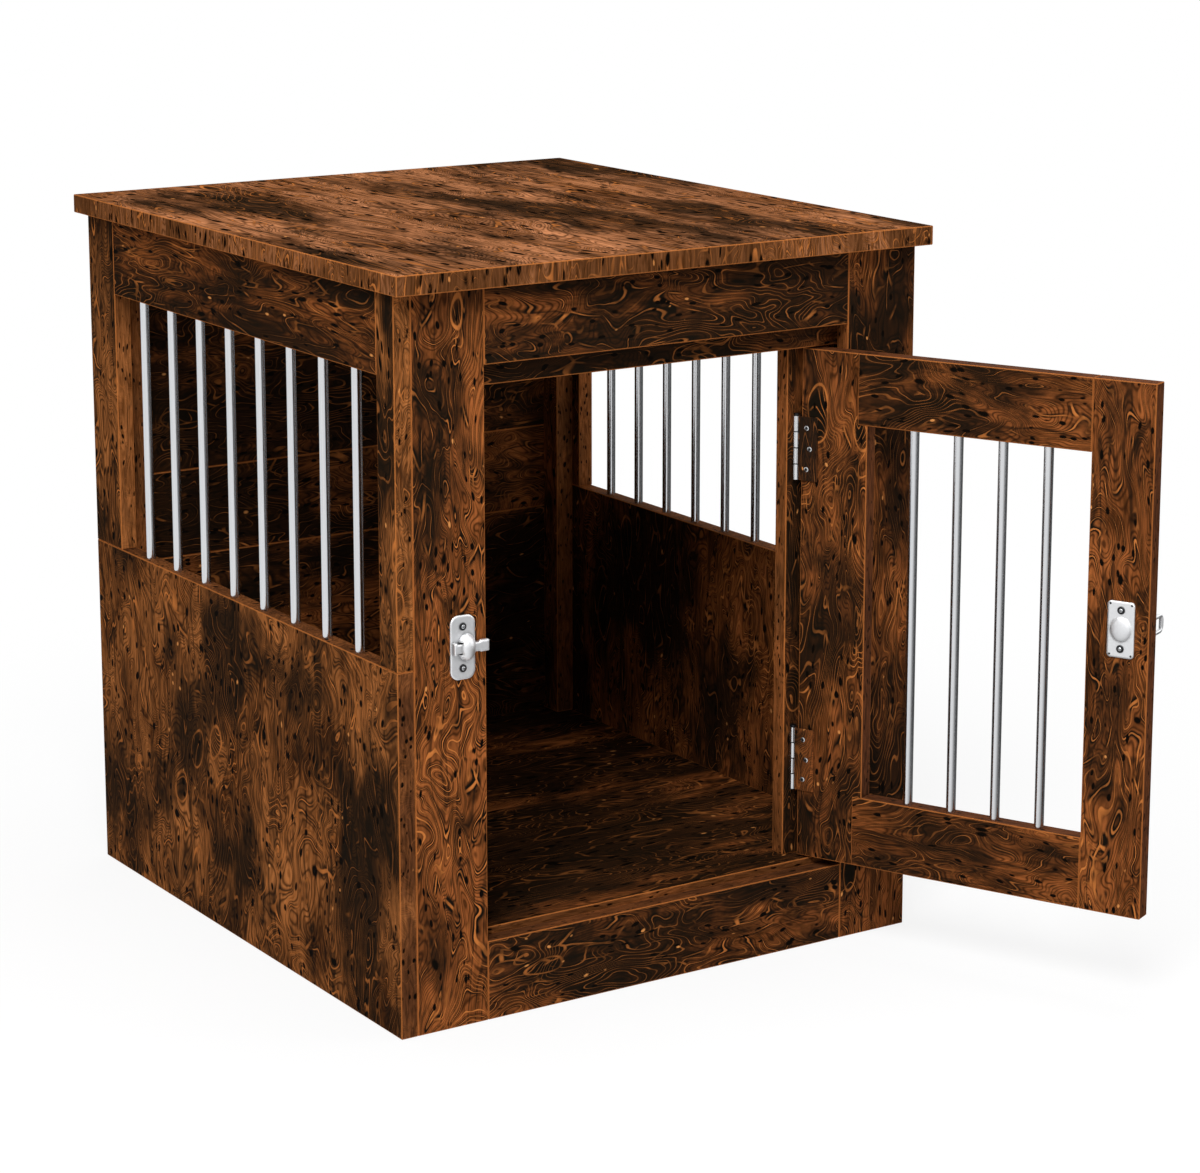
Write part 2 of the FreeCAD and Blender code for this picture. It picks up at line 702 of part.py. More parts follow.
def latch():
    """A plate with a domed housing, and the bolt that slides through it."""
    plate = new_body("latch_plate", in_cabinet)
    feature(
        plate, "AdditiveBox", "plate",
        ("latch_left", "-latch_plate_thick", "latch_height - latch_plate_height / 2"),
        Length="latch_plate_width", Width="latch_plate_thick", Height="latch_plate_height",
    )
    round_edges(plate, "corners", Y_AXIS, "latch_plate_corner")
    housing = new_body("latch_housing", in_cabinet)
    feature(
        housing, "AdditiveEllipsoid", "dome",
        ("housing_middle", "-latch_plate_thick", "latch_height"), "-y",
        Radius1="housing_depth", Radius2="housing_width / 2",
        Radius3="housing_height / 2", Angle1="0", Angle2="90", Angle3="360",
    )
    feature(
        housing, "SubtractiveBox", "tunnel",
        ("housing_left", "-tunnel_depth", "latch_height - tunnel_height / 2"),
        Length="housing_width", Width="tunnel_depth", Height="tunnel_height",
    )
    feature(
        housing, "SubtractiveBox", "chamber",
        ("housing_left", "-tunnel_depth", "latch_height - chamber_height / 2"),
        Length="housing_width - housing_mouth", Width="tunnel_depth", Height="chamber_height",
    )
    heights = [f"latch_height {sign} latch_screw_spacing / 2" for sign in "-+"]
    for number, z in enumerate(heights, start=1):
        spot = ("latch_middle", "-latch_plate_thick - overrun", z)
        radius = "pan_shank_radius + screw_clearance"
        drill(plate, f"screw_{number}", spot, "+y", radius, "latch_plate_thick + 2 * overrun")
    spots = [("latch_middle", "-latch_plate_thick", z) for z in heights]
    pan_screws("latch_screws", in_cabinet, spots, "+y", "screw_length")

    bolt = new_body("latch_bolt", in_cabinet)
    feature(
        bolt, "AdditiveBox", "tip",
        ("bolt_bar_end", "-bolt_outer", "latch_height - bolt_tip_height / 2"),
        Length="bolt_tip_length", Width="bolt_thick", Height="bolt_tip_height",
    )
    ease(bolt, "bolt_ease")
    feature(
        bolt, "AdditiveBox", "bar",
        ("bolt_left", "-bolt_outer", "latch_height - bolt_bar_height / 2"),
        Length="bolt_bar_end + bolt_ease - bolt_left", Width="bolt_thick", Height="bolt_bar_height",
    )
    feature(
        bolt, "AdditiveBox", "flange",
        ("bolt_left", "-bolt_outer", "latch_height - bolt_tip_height / 2"),
        Length="bolt_flange", Width="bolt_thick", Height="bolt_tip_height",
    )


def keeper_heights():
    return [f"latch_height {sign} keeper_screw_spacing / 2" for sign in "-+"]


def keeper():
    """The loop that the bolt passes through, and the plate behind it on the inside of the door."""
    low = "latch_height - keeper_plate_height / 2"
    loop = new_body("keeper_loop", on_door)
    feature(
        loop, "AdditiveBox", "base",
        ("-loop_start", "outer_face - latch_plate_thick", low),
        Length="keeper_base_length", Width="latch_plate_thick", Height="keeper_plate_height",
    )
    round_edges(loop, "base_corners", Y_AXIS, "keeper_plate_corner")
    feature(
        loop, "AdditiveBox", "arch",
        ("-loop_start", "outer_face - loop_end", "latch_height - loop_outside"),
        Length="loop_width", Width="loop_end - loop_foot / 2", Height="2 * loop_outside",
    )
    doc.recompute()
    middle = loop.Tip.Shape.BoundBox.Center.y
    round_edges(loop, "arch_corners", X_AXIS, "loop_corner", lambda spot: spot.y < middle)
    feature(
        loop, "SubtractiveBox", "hole",
        ("-loop_start", "outer_face - loop_hole_end", "latch_height - loop_hole"),
        Length="loop_width", Width="loop_hole_end - loop_foot", Height="2 * loop_hole",
    )
    plate = new_body("keeper_back_plate", on_door)
    corner = ("-keeper_middle - keeper_plate_width / 2", "inner_face", low)
    feature(
        plate, "AdditiveBox", "plate", corner,
        Length="keeper_plate_width", Width="latch_plate_thick", Height="keeper_plate_height",
    )
    round_edges(plate, "corners", Y_AXIS, "keeper_plate_corner")
    feature(
        plate, "AdditiveEllipsoid", "boss",
        ("-keeper_middle", "inner_face + latch_plate_thick", "latch_height"), "+y",
        Radius1="keeper_boss_depth", Radius2="keeper_boss_width / 2",
        Radius3="keeper_boss_height / 2", Angle1="0", Angle2="90", Angle3="360",
    )
    starts = ((loop, "outer_face - latch_plate_thick - overrun"), (plate, "inner_face - overrun"))
    for number, z in enumerate(keeper_heights(), start=1):
        for body, y in starts:
            radius = "pan_shank_radius + screw_clearance"
            depth = "latch_plate_thick + 2 * overrun"
            drill(body, f"screw_{number}", ("-keeper_middle", y, z), "+y", radius, depth)
    spots = [("-keeper_middle", "inner_face + latch_plate_thick", z) for z in keeper_heights()]
    pan_screws("keeper_screws", on_door, spots, "-y", "keeper_bolt_length")


def write_parts():
    doc.recompute()
    failed = [o.Label for o in doc.Objects if {"Invalid", "Error"} & set(o.State)]
    if failed:
        raise RuntimeError(f"these objects failed: {failed}")
    for label, item in parts.items():
        shape = item.Shape
        if shape.isNull() or not shape.isValid() or not shape.Solids:
            raise RuntimeError(f"{label} has no sound solid")
    os.makedirs("parts", exist_ok=True)
    for label, item in parts.items():
        item.Shape.exportStep(f"parts/{label}.step")
    print(len(parts), "nodes,", sum(len(item.Shape.Solids) for item in parts.values()), "solids")


fill_sheet()
table_top()
top_cleats()
front_frame()
side_walls()
back_and_floor()
posts()
door_frame()
hinges()
latch()
keeper()
write_parts()
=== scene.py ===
from math import cos, radians, sin

import bpy
from mathutils import Matrix, Vector


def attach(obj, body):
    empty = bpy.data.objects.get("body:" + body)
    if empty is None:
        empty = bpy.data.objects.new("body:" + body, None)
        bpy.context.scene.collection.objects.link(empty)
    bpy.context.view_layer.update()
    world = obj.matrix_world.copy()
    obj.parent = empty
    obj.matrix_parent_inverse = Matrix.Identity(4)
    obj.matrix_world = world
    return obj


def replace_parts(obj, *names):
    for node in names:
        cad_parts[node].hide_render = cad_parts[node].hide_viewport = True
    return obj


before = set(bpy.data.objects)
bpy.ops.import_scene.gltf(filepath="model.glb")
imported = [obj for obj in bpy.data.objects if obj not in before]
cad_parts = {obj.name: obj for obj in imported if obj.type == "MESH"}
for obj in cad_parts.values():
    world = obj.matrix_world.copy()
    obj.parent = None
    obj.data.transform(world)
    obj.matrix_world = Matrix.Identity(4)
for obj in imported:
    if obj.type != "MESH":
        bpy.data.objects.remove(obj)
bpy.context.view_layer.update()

MM = 0.001
DOOR_TURN = radians(115.0)
HINGE_AXIS = Vector((0.151, -0.244, 0.0))
# Bright steel fades into foil between these distances from the hinge axis.
KNUCKLE_END = 3.5 * MM
FOIL_START = 3.9 * MM
# Arrises are lightened with the line colour within this width, a painted highlight.
ARRIS_WIDTH = 1.1 * MM
ARRIS_CORE = 0.5 * MM
ARRIS_HIGHLIGHT_SHARE = 0.55
BAND_DEPTH = 0.4 * MM
# Vertices nearer to each other than this belong to one screw.
SCREW_REACH = 7.0 * MM
# Each board reads another part of the endless figure: its number times this step, in metres.
FIGURE_STEP = (0.731, 0.417, 0.593)
# On a board's faces the figure is drawn out through the thickness by this share, so that it keeps one pattern there.
DRAWN_OUT_SHARE = 0.8


def linear(hex_colour):
    """An sRGB hex value as the linear colour that shaders take."""
    parts = [int(hex_colour[i:i + 2], 16) / 255 for i in (1, 3, 5)]
    return tuple(c / 12.92 if c <= 0.04045 else ((c + 0.055) / 1.055) ** 2.4 for c in parts) + (1.0,)


def add(tree, kind, inputs=None, **settings):
    """Adds a node, sets its settings, and links or fills its inputs."""
    made = tree.nodes.new(kind)
    for name, value in settings.items():
        setattr(made, name, value)
    for key, value in (inputs or {}).items():
        if isinstance(value, bpy.types.NodeSocket):
            tree.links.new(value, made.inputs[key])
        else:
            made.inputs[key].default_value = value
    return made


def new_material(name):
    """An empty material, its node tree, and the Object coordinates in it."""
    material = bpy.data.materials.new(name)
    material.use_nodes = True
    tree = material.node_tree
    tree.nodes.clear()
    return material, tree, add(tree, "ShaderNodeTexCoord").outputs["Object"]


def new_group(name, inputs, outputs):
    """An empty node group with its named sockets, and its two end nodes."""
    tree = bpy.data.node_groups.new(name, "ShaderNodeTree")
    for label, kind in inputs:
        tree.interface.new_socket(label, in_out="INPUT", socket_type=kind)
    for label, kind in outputs:
        tree.interface.new_socket(label, in_out="OUTPUT", socket_type=kind)
    return tree, tree.nodes.new("NodeGroupInput"), tree.nodes.new("NodeGroupOutput")


VECTOR = "NodeSocketVector"
NUMBER = "NodeSocketFloat"
COLOUR = "NodeSocketColor"

# Colours of the printed rustic burl laminate
COPPER_BROWN = "#a35d2f"
MID_BROWN = "#4b2911"
SMOKE_BLACK = "#16110b"
PORE_BLACK = "#0c0805"
FIGURE_LINE = "#bb7037"
BRIGHT_FLECK = "#c98549"
# Lighter copper of the table top: painted light and sheen on the top face
TOP_COPPER_PAINTED_SHEEN = "#b67850"
# Lighter copper of the left side's boards: painted light on the lit side
SIDE_COPPER_PAINTED_LIGHT = "#b4703c"
FINE_LINE = "#2c1608"
BAND_BROWN = "#a8683a"
BAND_DARK = "#70401d"
# The doors' edge band, darker as painted shade
DOOR_BAND_SHADED_BROWN = "#5a3420"
DOOR_BAND_SHADED_DARK = "#351d0f"
THRESHOLD_BROWN = "#5f3820"
THRESHOLD_DARK = "#3a2010"
WINDOW_SILL_BROWN = "#6f4226"
WINDOW_SILL_DARK = "#3f2312"
# Colours of plated steel and of the paper floor
# Near-black for painted shade in the corners of metal parts
CORNER_PAINTED_SHADE = "#2c2c2e"
# White of the painted highlight along metal edges
EDGE_HIGHLIGHT_WHITE = "#ffffff"
KNUCKLE_STEEL = "#d9dadc"
PAPER_WHITE = "#f4f4f4"


def burl_figure():
    """Printed burl figure on grain coordinates in metres, X along the grain: dark smoke patches, contour lines, a net
    of lines with painted shadow along their borders, pores and bright flecks."""
    tree, start, end = new_group(
        "burl_figure",
        [("Grain", VECTOR), ("Smoke", NUMBER), ("Lines", NUMBER), ("Pores", NUMBER), ("Copper", COLOUR)],
        [("Colour", COLOUR), ("Height", NUMBER), ("Gloss", NUMBER)])
    grain = start.outputs["Grain"]

    # Each pattern's scale is in cells per metre, along and across the grain: 1000 over the cell's size in millimetres.
    # The flow pushes the whole figure about by up to 25 mm along and 13 mm across the grain.
    slow = add(tree, "ShaderNodeVectorMath", {0: grain, 1: (10.0, 26.0, 26.0)}, operation="MULTIPLY")
    flow = add(tree, "ShaderNodeTexNoise", {"Vector": slow.outputs[0], "Scale": 1.0, "Detail": 2.0})
    push = add(tree, "ShaderNodeVectorMath", {0: flow.outputs["Color"], 1: (0.5, 0.5, 0.5)}, operation="SUBTRACT")
    push = add(tree, "ShaderNodeVectorMath", {0: push.outputs[0], 1: (50.0 * MM, 26.0 * MM, 26.0 * MM)},
               operation="MULTIPLY")
    place = add(tree, "ShaderNodeVectorMath", {0: grain, 1: push.outputs[0]}, operation="ADD").outputs[0]

    # Smoke patches are 40 to 80 mm across and about twice as long.
    at = add(tree, "ShaderNodeVectorMath", {0: place, 1: (6.5, 15.0, 15.0)}, operation="MULTIPLY")
    smoke = add(tree, "ShaderNodeTexNoise", {"Vector": at.outputs[0], "Scale": 1.0, "Detail": 6.0, "Roughness": 0.62})
    smoke = add(tree, "ShaderNodeMath", {0: smoke.outputs["Fac"], 1: start.outputs["Smoke"]}, operation="ADD")
    smoke = add(tree, "ShaderNodeMapRange", {"Value": smoke.outputs[0], "From Min": 0.44, "From Max": 0.60},
                interpolation_type="SMOOTHSTEP").outputs["Result"]

    # Rings: contours of a slow field, about 9 mm apart across the grain, four fine lines to each ring.
    at = add(tree, "ShaderNodeVectorMath", {0: place, 1: (9.0, 22.0, 22.0)}, operation="MULTIPLY")
    field = add(tree, "ShaderNodeTexNoise", {"Vector": at.outputs[0], "Scale": 1.0, "Detail": 2.2, "Roughness": 0.45,
                                             "Distortion": 0.5})
    ring = add(tree, "ShaderNodeMath", {0: field.outputs["Fac"], 1: 20.0}, operation="MULTIPLY")
    ring_off = add(tree, "ShaderNodeMath", {0: ring.outputs[0], 1: 0.5}, operation="PINGPONG")
    fine = add(tree, "ShaderNodeMath", {0: ring.outputs[0], 1: 0.125}, operation="PINGPONG")
    fine = add(tree, "ShaderNodeMapRange", {"Value": fine.outputs[0], "From Min": 0.0, "From Max": 0.085,
                                            "To Min": 1.0, "To Max": 0.0}, interpolation_type="SMOOTHSTEP")

    # The net: edges of warped cells, 12 mm across and 50 mm along the grain.
    at = add(tree, "ShaderNodeVectorMath", {0: place, 1: (20.0, 82.0, 82.0)}, operation="MULTIPLY")
    net = add(tree, "ShaderNodeTexVoronoi", {"Vector": at.outputs[0], "Scale": 1.0, "Randomness": 1.0},
              feature="DISTANCE_TO_EDGE")

    # Lines are broken into strokes by a patchy mask.
    at = add(tree, "ShaderNodeVectorMath", {0: grain, 1: (40.0, 66.0, 66.0)}, operation="MULTIPLY")
    strokes = add(tree, "ShaderNodeTexNoise", {"Vector": at.outputs[0], "Scale": 1.0, "Detail": 2.0})
    ring_on = add(tree, "ShaderNodeMapRange", {"Value": strokes.outputs["Fac"], "From Min": 0.42, "From Max": 0.52})
    net_on = add(tree, "ShaderNodeMapRange", {"Value": strokes.outputs["Fac"], "From Min": 0.44, "From Max": 0.36})
    ring_line = add(tree, "ShaderNodeMapRange", {"Value": ring_off.outputs[0], "From Min": 0.050, "From Max": 0.015},
                    interpolation_type="SMOOTHSTEP")
    net_line = add(tree, "ShaderNodeMapRange", {"Value": net.outputs["Distance"], "From Min": 0.038, "From Max": 0.012},
                   interpolation_type="SMOOTHSTEP")
    # The dark bands beside the lines are painted shadow, as of raised lines.
    ring_shadow = add(tree, "ShaderNodeMapRange", {"Value": ring_off.outputs[0], "From Min": 0.20, "From Max": 0.07},
                   interpolation_type="SMOOTHSTEP")
    net_shadow = add(tree, "ShaderNodeMapRange", {"Value": net.outputs["Distance"], "From Min": 0.16, "From Max": 0.045},
                  interpolation_type="SMOOTHSTEP")
    ring_line = add(tree, "ShaderNodeMath", {0: ring_line.outputs[0], 1: ring_on.outputs[0]}, operation="MULTIPLY")
    net_line = add(tree, "ShaderNodeMath", {0: net_line.outputs[0], 1: net_on.outputs[0]}, operation="MULTIPLY")
    ring_shadow = add(tree, "ShaderNodeMath", {0: ring_shadow.outputs[0], 1: ring_on.outputs[0]}, operation="MULTIPLY")
    net_shadow = add(tree, "ShaderNodeMath", {0: net_shadow.outputs[0], 1: net_on.outputs[0]}, operation="MULTIPLY")
    # In some patches, 50 mm across, light contours nest twice as close.
    at = add(tree, "ShaderNodeVectorMath", {0: grain, 1: (9.0, 18.0, 18.0)}, operation="MULTIPLY")
    nest_on = add(tree, "ShaderNodeTexNoise", {"Vector": at.outputs[0], "Scale": 1.0, "Detail": 1.0})
    nest_on = add(tree, "ShaderNodeMapRange", {"Value": nest_on.outputs["Fac"], "From Min": 0.47, "From Max": 0.55})
    nest = add(tree, "ShaderNodeMath", {0: ring.outputs[0], 1: 0.25}, operation="PINGPONG")
    nest = add(tree, "ShaderNodeMapRange", {"Value": nest.outputs[0], "From Min": 0.055, "From Max": 0.018},
               interpolation_type="SMOOTHSTEP")
    nest = add(tree, "ShaderNodeMath", {0: nest.outputs[0], 1: nest_on.outputs[0]}, operation="MULTIPLY")
    nest = add(tree, "ShaderNodeMath", {0: nest.outputs[0], 1: ring_line.outputs[0]}, operation="MAXIMUM")
    line = add(tree, "ShaderNodeMath", {0: nest.outputs[0], 1: net_line.outputs[0]}, operation="MAXIMUM")
    rim = add(tree, "ShaderNodeMath", {0: ring_shadow.outputs[0], 1: net_shadow.outputs[0]}, operation="MAXIMUM")

    # Pores: dark ovals about 4 mm across and 8 mm long.
    at = add(tree, "ShaderNodeVectorMath", {0: place, 1: (48.0, 100.0, 100.0)}, operation="MULTIPLY")
    pore = add(tree, "ShaderNodeTexVoronoi", {"Vector": at.outputs[0], "Scale": 1.0}, feature="F1")
    odds = add(tree, "ShaderNodeSeparateColor", {"Color": pore.outputs["Color"]})
    chosen = add(tree, "ShaderNodeMath", {0: odds.outputs["Red"], 1: start.outputs["Pores"]}, operation="LESS_THAN")
    pore = add(tree, "ShaderNodeMapRange", {"Value": pore.outputs["Distance"], "From Min": 0.25, "From Max": 0.14},
               interpolation_type="SMOOTHSTEP")
    pore = add(tree, "ShaderNodeMath", {0: pore.outputs[0], 1: chosen.outputs[0]}, operation="MULTIPLY")

    # Pinholes: dark ovals about 2.4 mm across and 6 mm long.
    at = add(tree, "ShaderNodeVectorMath", {0: place, 1: (95.0, 230.0, 230.0)}, operation="MULTIPLY")
    pinhole = add(tree, "ShaderNodeTexVoronoi", {"Vector": at.outputs[0], "Scale": 1.0}, feature="F1")
    odds = add(tree, "ShaderNodeSeparateColor", {"Color": pinhole.outputs["Color"]})
    chosen = add(tree, "ShaderNodeMath", {0: odds.outputs["Red"], 1: 0.30}, operation="LESS_THAN")
    pinhole = add(tree, "ShaderNodeMapRange", {"Value": pinhole.outputs["Distance"], "From Min": 0.34, "From Max": 0.22},
                  interpolation_type="SMOOTHSTEP")
    pinhole = add(tree, "ShaderNodeMath", {0: pinhole.outputs[0], 1: chosen.outputs[0]}, operation="MULTIPLY")
    pore = add(tree, "ShaderNodeMath", {0: pore.outputs[0], 1: pinhole.outputs[0]}, operation="MAXIMUM")

    # Cracks: thin dark lines along the grain, 100 mm long and more.
    at = add(tree, "ShaderNodeVectorMath", {0: place, 1: (5.0, 70.0, 70.0)}, operation="MULTIPLY")
    crack = add(tree, "ShaderNodeTexNoise", {"Vector": at.outputs[0], "Scale": 1.0, "Detail": 1.0})
    crack = add(tree, "ShaderNodeMath", {0: crack.outputs["Fac"], 1: 0.5}, operation="SUBTRACT")
    crack = add(tree, "ShaderNodeMath", {0: crack.outputs[0]}, operation="ABSOLUTE")
    crack = add(tree, "ShaderNodeMapRange", {"Value": crack.outputs[0], "From Min": 0.030, "From Max": 0.004,
                                             "To Max": 0.7}, interpolation_type="SMOOTHSTEP")

    # Eyes: ovals about 16 mm across and 39 mm long, dark inside and ringed by a light line.
    at = add(tree, "ShaderNodeVectorMath", {0: place, 1: (14.0, 34.0, 34.0)}, operation="MULTIPLY")
    eye = add(tree, "ShaderNodeTexVoronoi", {"Vector": at.outputs[0], "Scale": 1.0}, feature="F1")
    fate = add(tree, "ShaderNodeSeparateColor", {"Color": eye.outputs["Color"]})
    open_eye = add(tree, "ShaderNodeMath", {0: fate.outputs["Blue"], 1: 0.15}, operation="LESS_THAN")
    off_ring = add(tree, "ShaderNodeMath", {0: eye.outputs["Distance"], 1: 0.27}, operation="SUBTRACT")
    off_ring = add(tree, "ShaderNodeMath", {0: off_ring.outputs[0]}, operation="ABSOLUTE")
    eye_ring = add(tree, "ShaderNodeMapRange", {"Value": off_ring.outputs[0], "From Min": 0.020, "From Max": 0.006},
                   interpolation_type="SMOOTHSTEP")
    eye_dark = add(tree, "ShaderNodeMapRange", {"Value": eye.outputs["Distance"], "From Min": 0.34, "From Max": 0.18},
                   interpolation_type="SMOOTHSTEP")
    eye_ring = add(tree, "ShaderNodeMath", {0: eye_ring.outputs[0], 1: open_eye.outputs[0]}, operation="MULTIPLY")
    eye_dark = add(tree, "ShaderNodeMath", {0: eye_dark.outputs[0], 1: open_eye.outputs[0]}, operation="MULTIPLY")
    line = add(tree, "ShaderNodeMath", {0: line.outputs[0], 1: eye_ring.outputs[0]}, operation="MAXIMUM")
    rim = add(tree, "ShaderNodeMath", {0: rim.outputs[0], 1: eye_dark.outputs[0]}, operation="MAXIMUM")

    # Glints: each line is brighter and duller in turn over 9 to 14 mm.
    at = add(tree, "ShaderNodeVectorMath", {0: grain, 1: (70.0, 110.0, 110.0)}, operation="MULTIPLY")
    glint = add(tree, "ShaderNodeTexNoise", {"Vector": at.outputs[0], "Scale": 1.0, "Detail": 1.0})
    glint = add(tree, "ShaderNodeMapRange", {"Value": glint.outputs["Fac"], "From Min": 0.36, "From Max": 0.66,
                                             "To Min": 0.3, "To Max": 1.0})
    line = add(tree, "ShaderNodeMath", {0: line.outputs[0], 1: glint.outputs[0]}, operation="MULTIPLY")
    line = add(tree, "ShaderNodeMath", {0: line.outputs[0], 1: start.outputs["Lines"]}, operation="MULTIPLY")
    rim = add(tree, "ShaderNodeMath", {0: rim.outputs[0], 1: start.outputs["Lines"]}, operation="MULTIPLY")

    # Flecks: bright specks about 2 mm across.
    at = add(tree, "ShaderNodeVectorMath", {0: place, 1: (80.0, 130.0, 130.0)}, operation="MULTIPLY")
    fleck = add(tree, "ShaderNodeTexVoronoi", {"Vector": at.outputs[0], "Scale": 1.0}, feature="F1")
    luck = add(tree, "ShaderNodeSeparateColor", {"Color": fleck.outputs["Color"]})
    few = add(tree, "ShaderNodeMath", {0: luck.outputs["Green"], 1: 0.90}, operation="GREATER_THAN")
    fleck = add(tree, "ShaderNodeMapRange", {"Value": fleck.outputs["Distance"], "From Min": 0.16, "From Max": 0.08})
    fleck = add(tree, "ShaderNodeMath", {0: fleck.outputs[0], 1: few.outputs[0]}, operation="MULTIPLY")
    fleck = add(tree, "ShaderNodeMath", {0: fleck.outputs[0], 1: start.outputs["Lines"]}, operation="MULTIPLY")

    # Fibre streaks: 2 mm across, 25 mm long.
    at = add(tree, "ShaderNodeVectorMath", {0: place, 1: (40.0, 500.0, 500.0)}, operation="MULTIPLY")
    fibre = add(tree, "ShaderNodeTexNoise", {"Vector": at.outputs[0], "Scale": 1.0, "Detail": 3.0})
    at = add(tree, "ShaderNodeVectorMath", {0: place, 1: (14.0, 34.0, 34.0)}, operation="MULTIPLY")
    tone = add(tree, "ShaderNodeTexNoise", {"Vector": at.outputs[0], "Scale": 1.0, "Detail": 4.0})
    tone = add(tree, "ShaderNodeMath", {0: fibre.outputs["Fac"], 1: 0.7, 2: tone.outputs["Fac"]},
               operation="MULTIPLY_ADD")
    tone = add(tree, "ShaderNodeMapRange", {"Value": tone.outputs[0], "From Min": 0.62, "From Max": 1.06})

    # The layers of the print, from the ground colour up
    colour = add(tree, "ShaderNodeMix", {"Factor": tone.outputs[0], "A": linear(MID_BROWN),
                                         "B": start.outputs["Copper"]}, data_type="RGBA")
    amount = add(tree, "ShaderNodeMapRange", {"Value": start.outputs["Lines"], "To Min": 0.25, "To Max": 0.8})
    amount = add(tree, "ShaderNodeMath", {0: fine.outputs[0], 1: amount.outputs[0]}, operation="MULTIPLY")
    colour = add(tree, "ShaderNodeMix", {"Factor": amount.outputs[0], "A": colour.outputs["Result"],
                                         "B": linear(FINE_LINE)}, data_type="RGBA")
    colour = add(tree, "ShaderNodeMix", {"Factor": crack.outputs[0], "A": colour.outputs["Result"],
                                         "B": linear(SMOKE_BLACK)}, data_type="RGBA")
    amount = add(tree, "ShaderNodeMath", {0: smoke, 1: 0.93}, operation="MULTIPLY")
    colour = add(tree, "ShaderNodeMix", {"Factor": amount.outputs[0], "A": colour.outputs["Result"],
                                         "B": linear(SMOKE_BLACK)}, data_type="RGBA")
    # Painted shadow beside the lines, and the dark insides of the eyes
    amount = add(tree, "ShaderNodeMath", {0: rim.outputs[0], 1: 0.85}, operation="MULTIPLY")
    colour = add(tree, "ShaderNodeMix", {"Factor": amount.outputs[0], "A": colour.outputs["Result"],
                                         "B": linear(SMOKE_BLACK)}, data_type="RGBA")
    amount = add(tree, "ShaderNodeMath", {0: smoke, 1: -0.55, 2: 1.0}, operation="MULTIPLY_ADD")
    amount = add(tree, "ShaderNodeMath", {0: line.outputs[0], 1: amount.outputs[0]}, operation="MULTIPLY")
    colour = add(tree, "ShaderNodeMix", {"Factor": amount.outputs[0], "A": colour.outputs["Result"],
                                         "B": linear(FIGURE_LINE)}, data_type="RGBA")
    colour = add(tree, "ShaderNodeMix", {"Factor": pore.outputs[0], "A": colour.outputs["Result"],
                                         "B": linear(PORE_BLACK)}, data_type="RGBA")
    colour = add(tree, "ShaderNodeMix", {"Factor": fleck.outputs[0], "A": colour.outputs["Result"],
                                         "B": linear(BRIGHT_FLECK)}, data_type="RGBA")
    height = add(tree, "ShaderNodeMath", {0: line.outputs[0], 1: pore.outputs[0]}, operation="SUBTRACT")
    gloss = add(tree, "ShaderNodeMapRange", {"Value": fibre.outputs["Fac"], "To Min": 0.55, "To Max": 0.75})
    tree.links.new(colour.outputs["Result"], end.inputs["Colour"])
    tree.links.new(height.outputs[0], end.inputs["Height"])
    tree.links.new(gloss.outputs[0], end.inputs["Gloss"])
    return tree


def board_faces():
    """Where a point lies on its board: on an arris between two faces, or on the thin band round its edge."""
    tree, start, end = new_group(
        "board_faces",
        [("Point", VECTOR), ("Middle", VECTOR), ("Half", VECTOR), ("Thin", VECTOR)],
        [("Arris", NUMBER), ("Band", NUMBER)])
    off = add(tree, "ShaderNodeVectorMath", {0: start.outputs["Point"], 1: start.outputs["Middle"]},
              operation="SUBTRACT")
    off = add(tree, "ShaderNodeVectorMath", {0: off.outputs[0]}, operation="ABSOLUTE")
    depth = add(tree, "ShaderNodeVectorMath", {0: start.outputs["Half"], 1: off.outputs[0]}, operation="SUBTRACT")
    x, y, z = add(tree, "ShaderNodeSeparateXYZ", {0: depth.outputs[0]}).outputs
    low = add(tree, "ShaderNodeMath", {0: x, 1: y}, operation="MINIMUM")
    high = add(tree, "ShaderNodeMath", {0: x, 1: y}, operation="MAXIMUM")
    middle = add(tree, "ShaderNodeMath", {0: high.outputs[0], 1: z}, operation="MINIMUM")
    second = add(tree, "ShaderNodeMath", {0: low.outputs[0], 1: middle.outputs[0]}, operation="MAXIMUM")
    arris = add(tree, "ShaderNodeMapRange", {"Value": second.outputs[0], "From Min": ARRIS_WIDTH,
                                             "From Max": ARRIS_CORE}, interpolation_type="SMOOTHSTEP")
    apart = add(tree, "ShaderNodeVectorMath", {0: depth.outputs[0], 1: start.outputs["Thin"]}, operation="ADD")
    x, y, z = add(tree, "ShaderNodeSeparateXYZ", {0: apart.outputs[0]}).outputs
    low = add(tree, "ShaderNodeMath", {0: x, 1: y}, operation="MINIMUM")
    low = add(tree, "ShaderNodeMath", {0: low.outputs[0], 1: z}, operation="MINIMUM")
    band = add(tree, "ShaderNodeMath", {0: low.outputs[0], 1: BAND_DEPTH}, operation="LESS_THAN")
    tree.links.new(arris.outputs[0], end.inputs["Arris"])
    tree.links.new(band.outputs[0], end.inputs["Band"])
    return tree


BURL_FIGURE = burl_figure()
BOARD_FACES = board_faces()
GRAIN_TURN = {
    "across": (0.0, 0.0, 0.0),
    "deep": (0.0, 0.0, radians(-90.0)),
    "upright": (0.0, radians(90.0), 0.0),
}


def turned_box(node, turn):
    """Middle and half size of a node, in axes turned about Z."""
    back = Matrix.Rotation(-turn, 3, "Z")
    points = [back @ v.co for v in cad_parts[node].data.vertices]
    low = Vector([min(p[i] for p in points) for i in range(3)])
    high = Vector([max(p[i] for p in points) for i in range(3)])
    return (low + high) / 2, (high - low) / 2


def dress(node, material):
    """Gives a carried-over node its finish."""
    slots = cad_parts[node].data.materials
    slots.clear()
    slots.append(material)


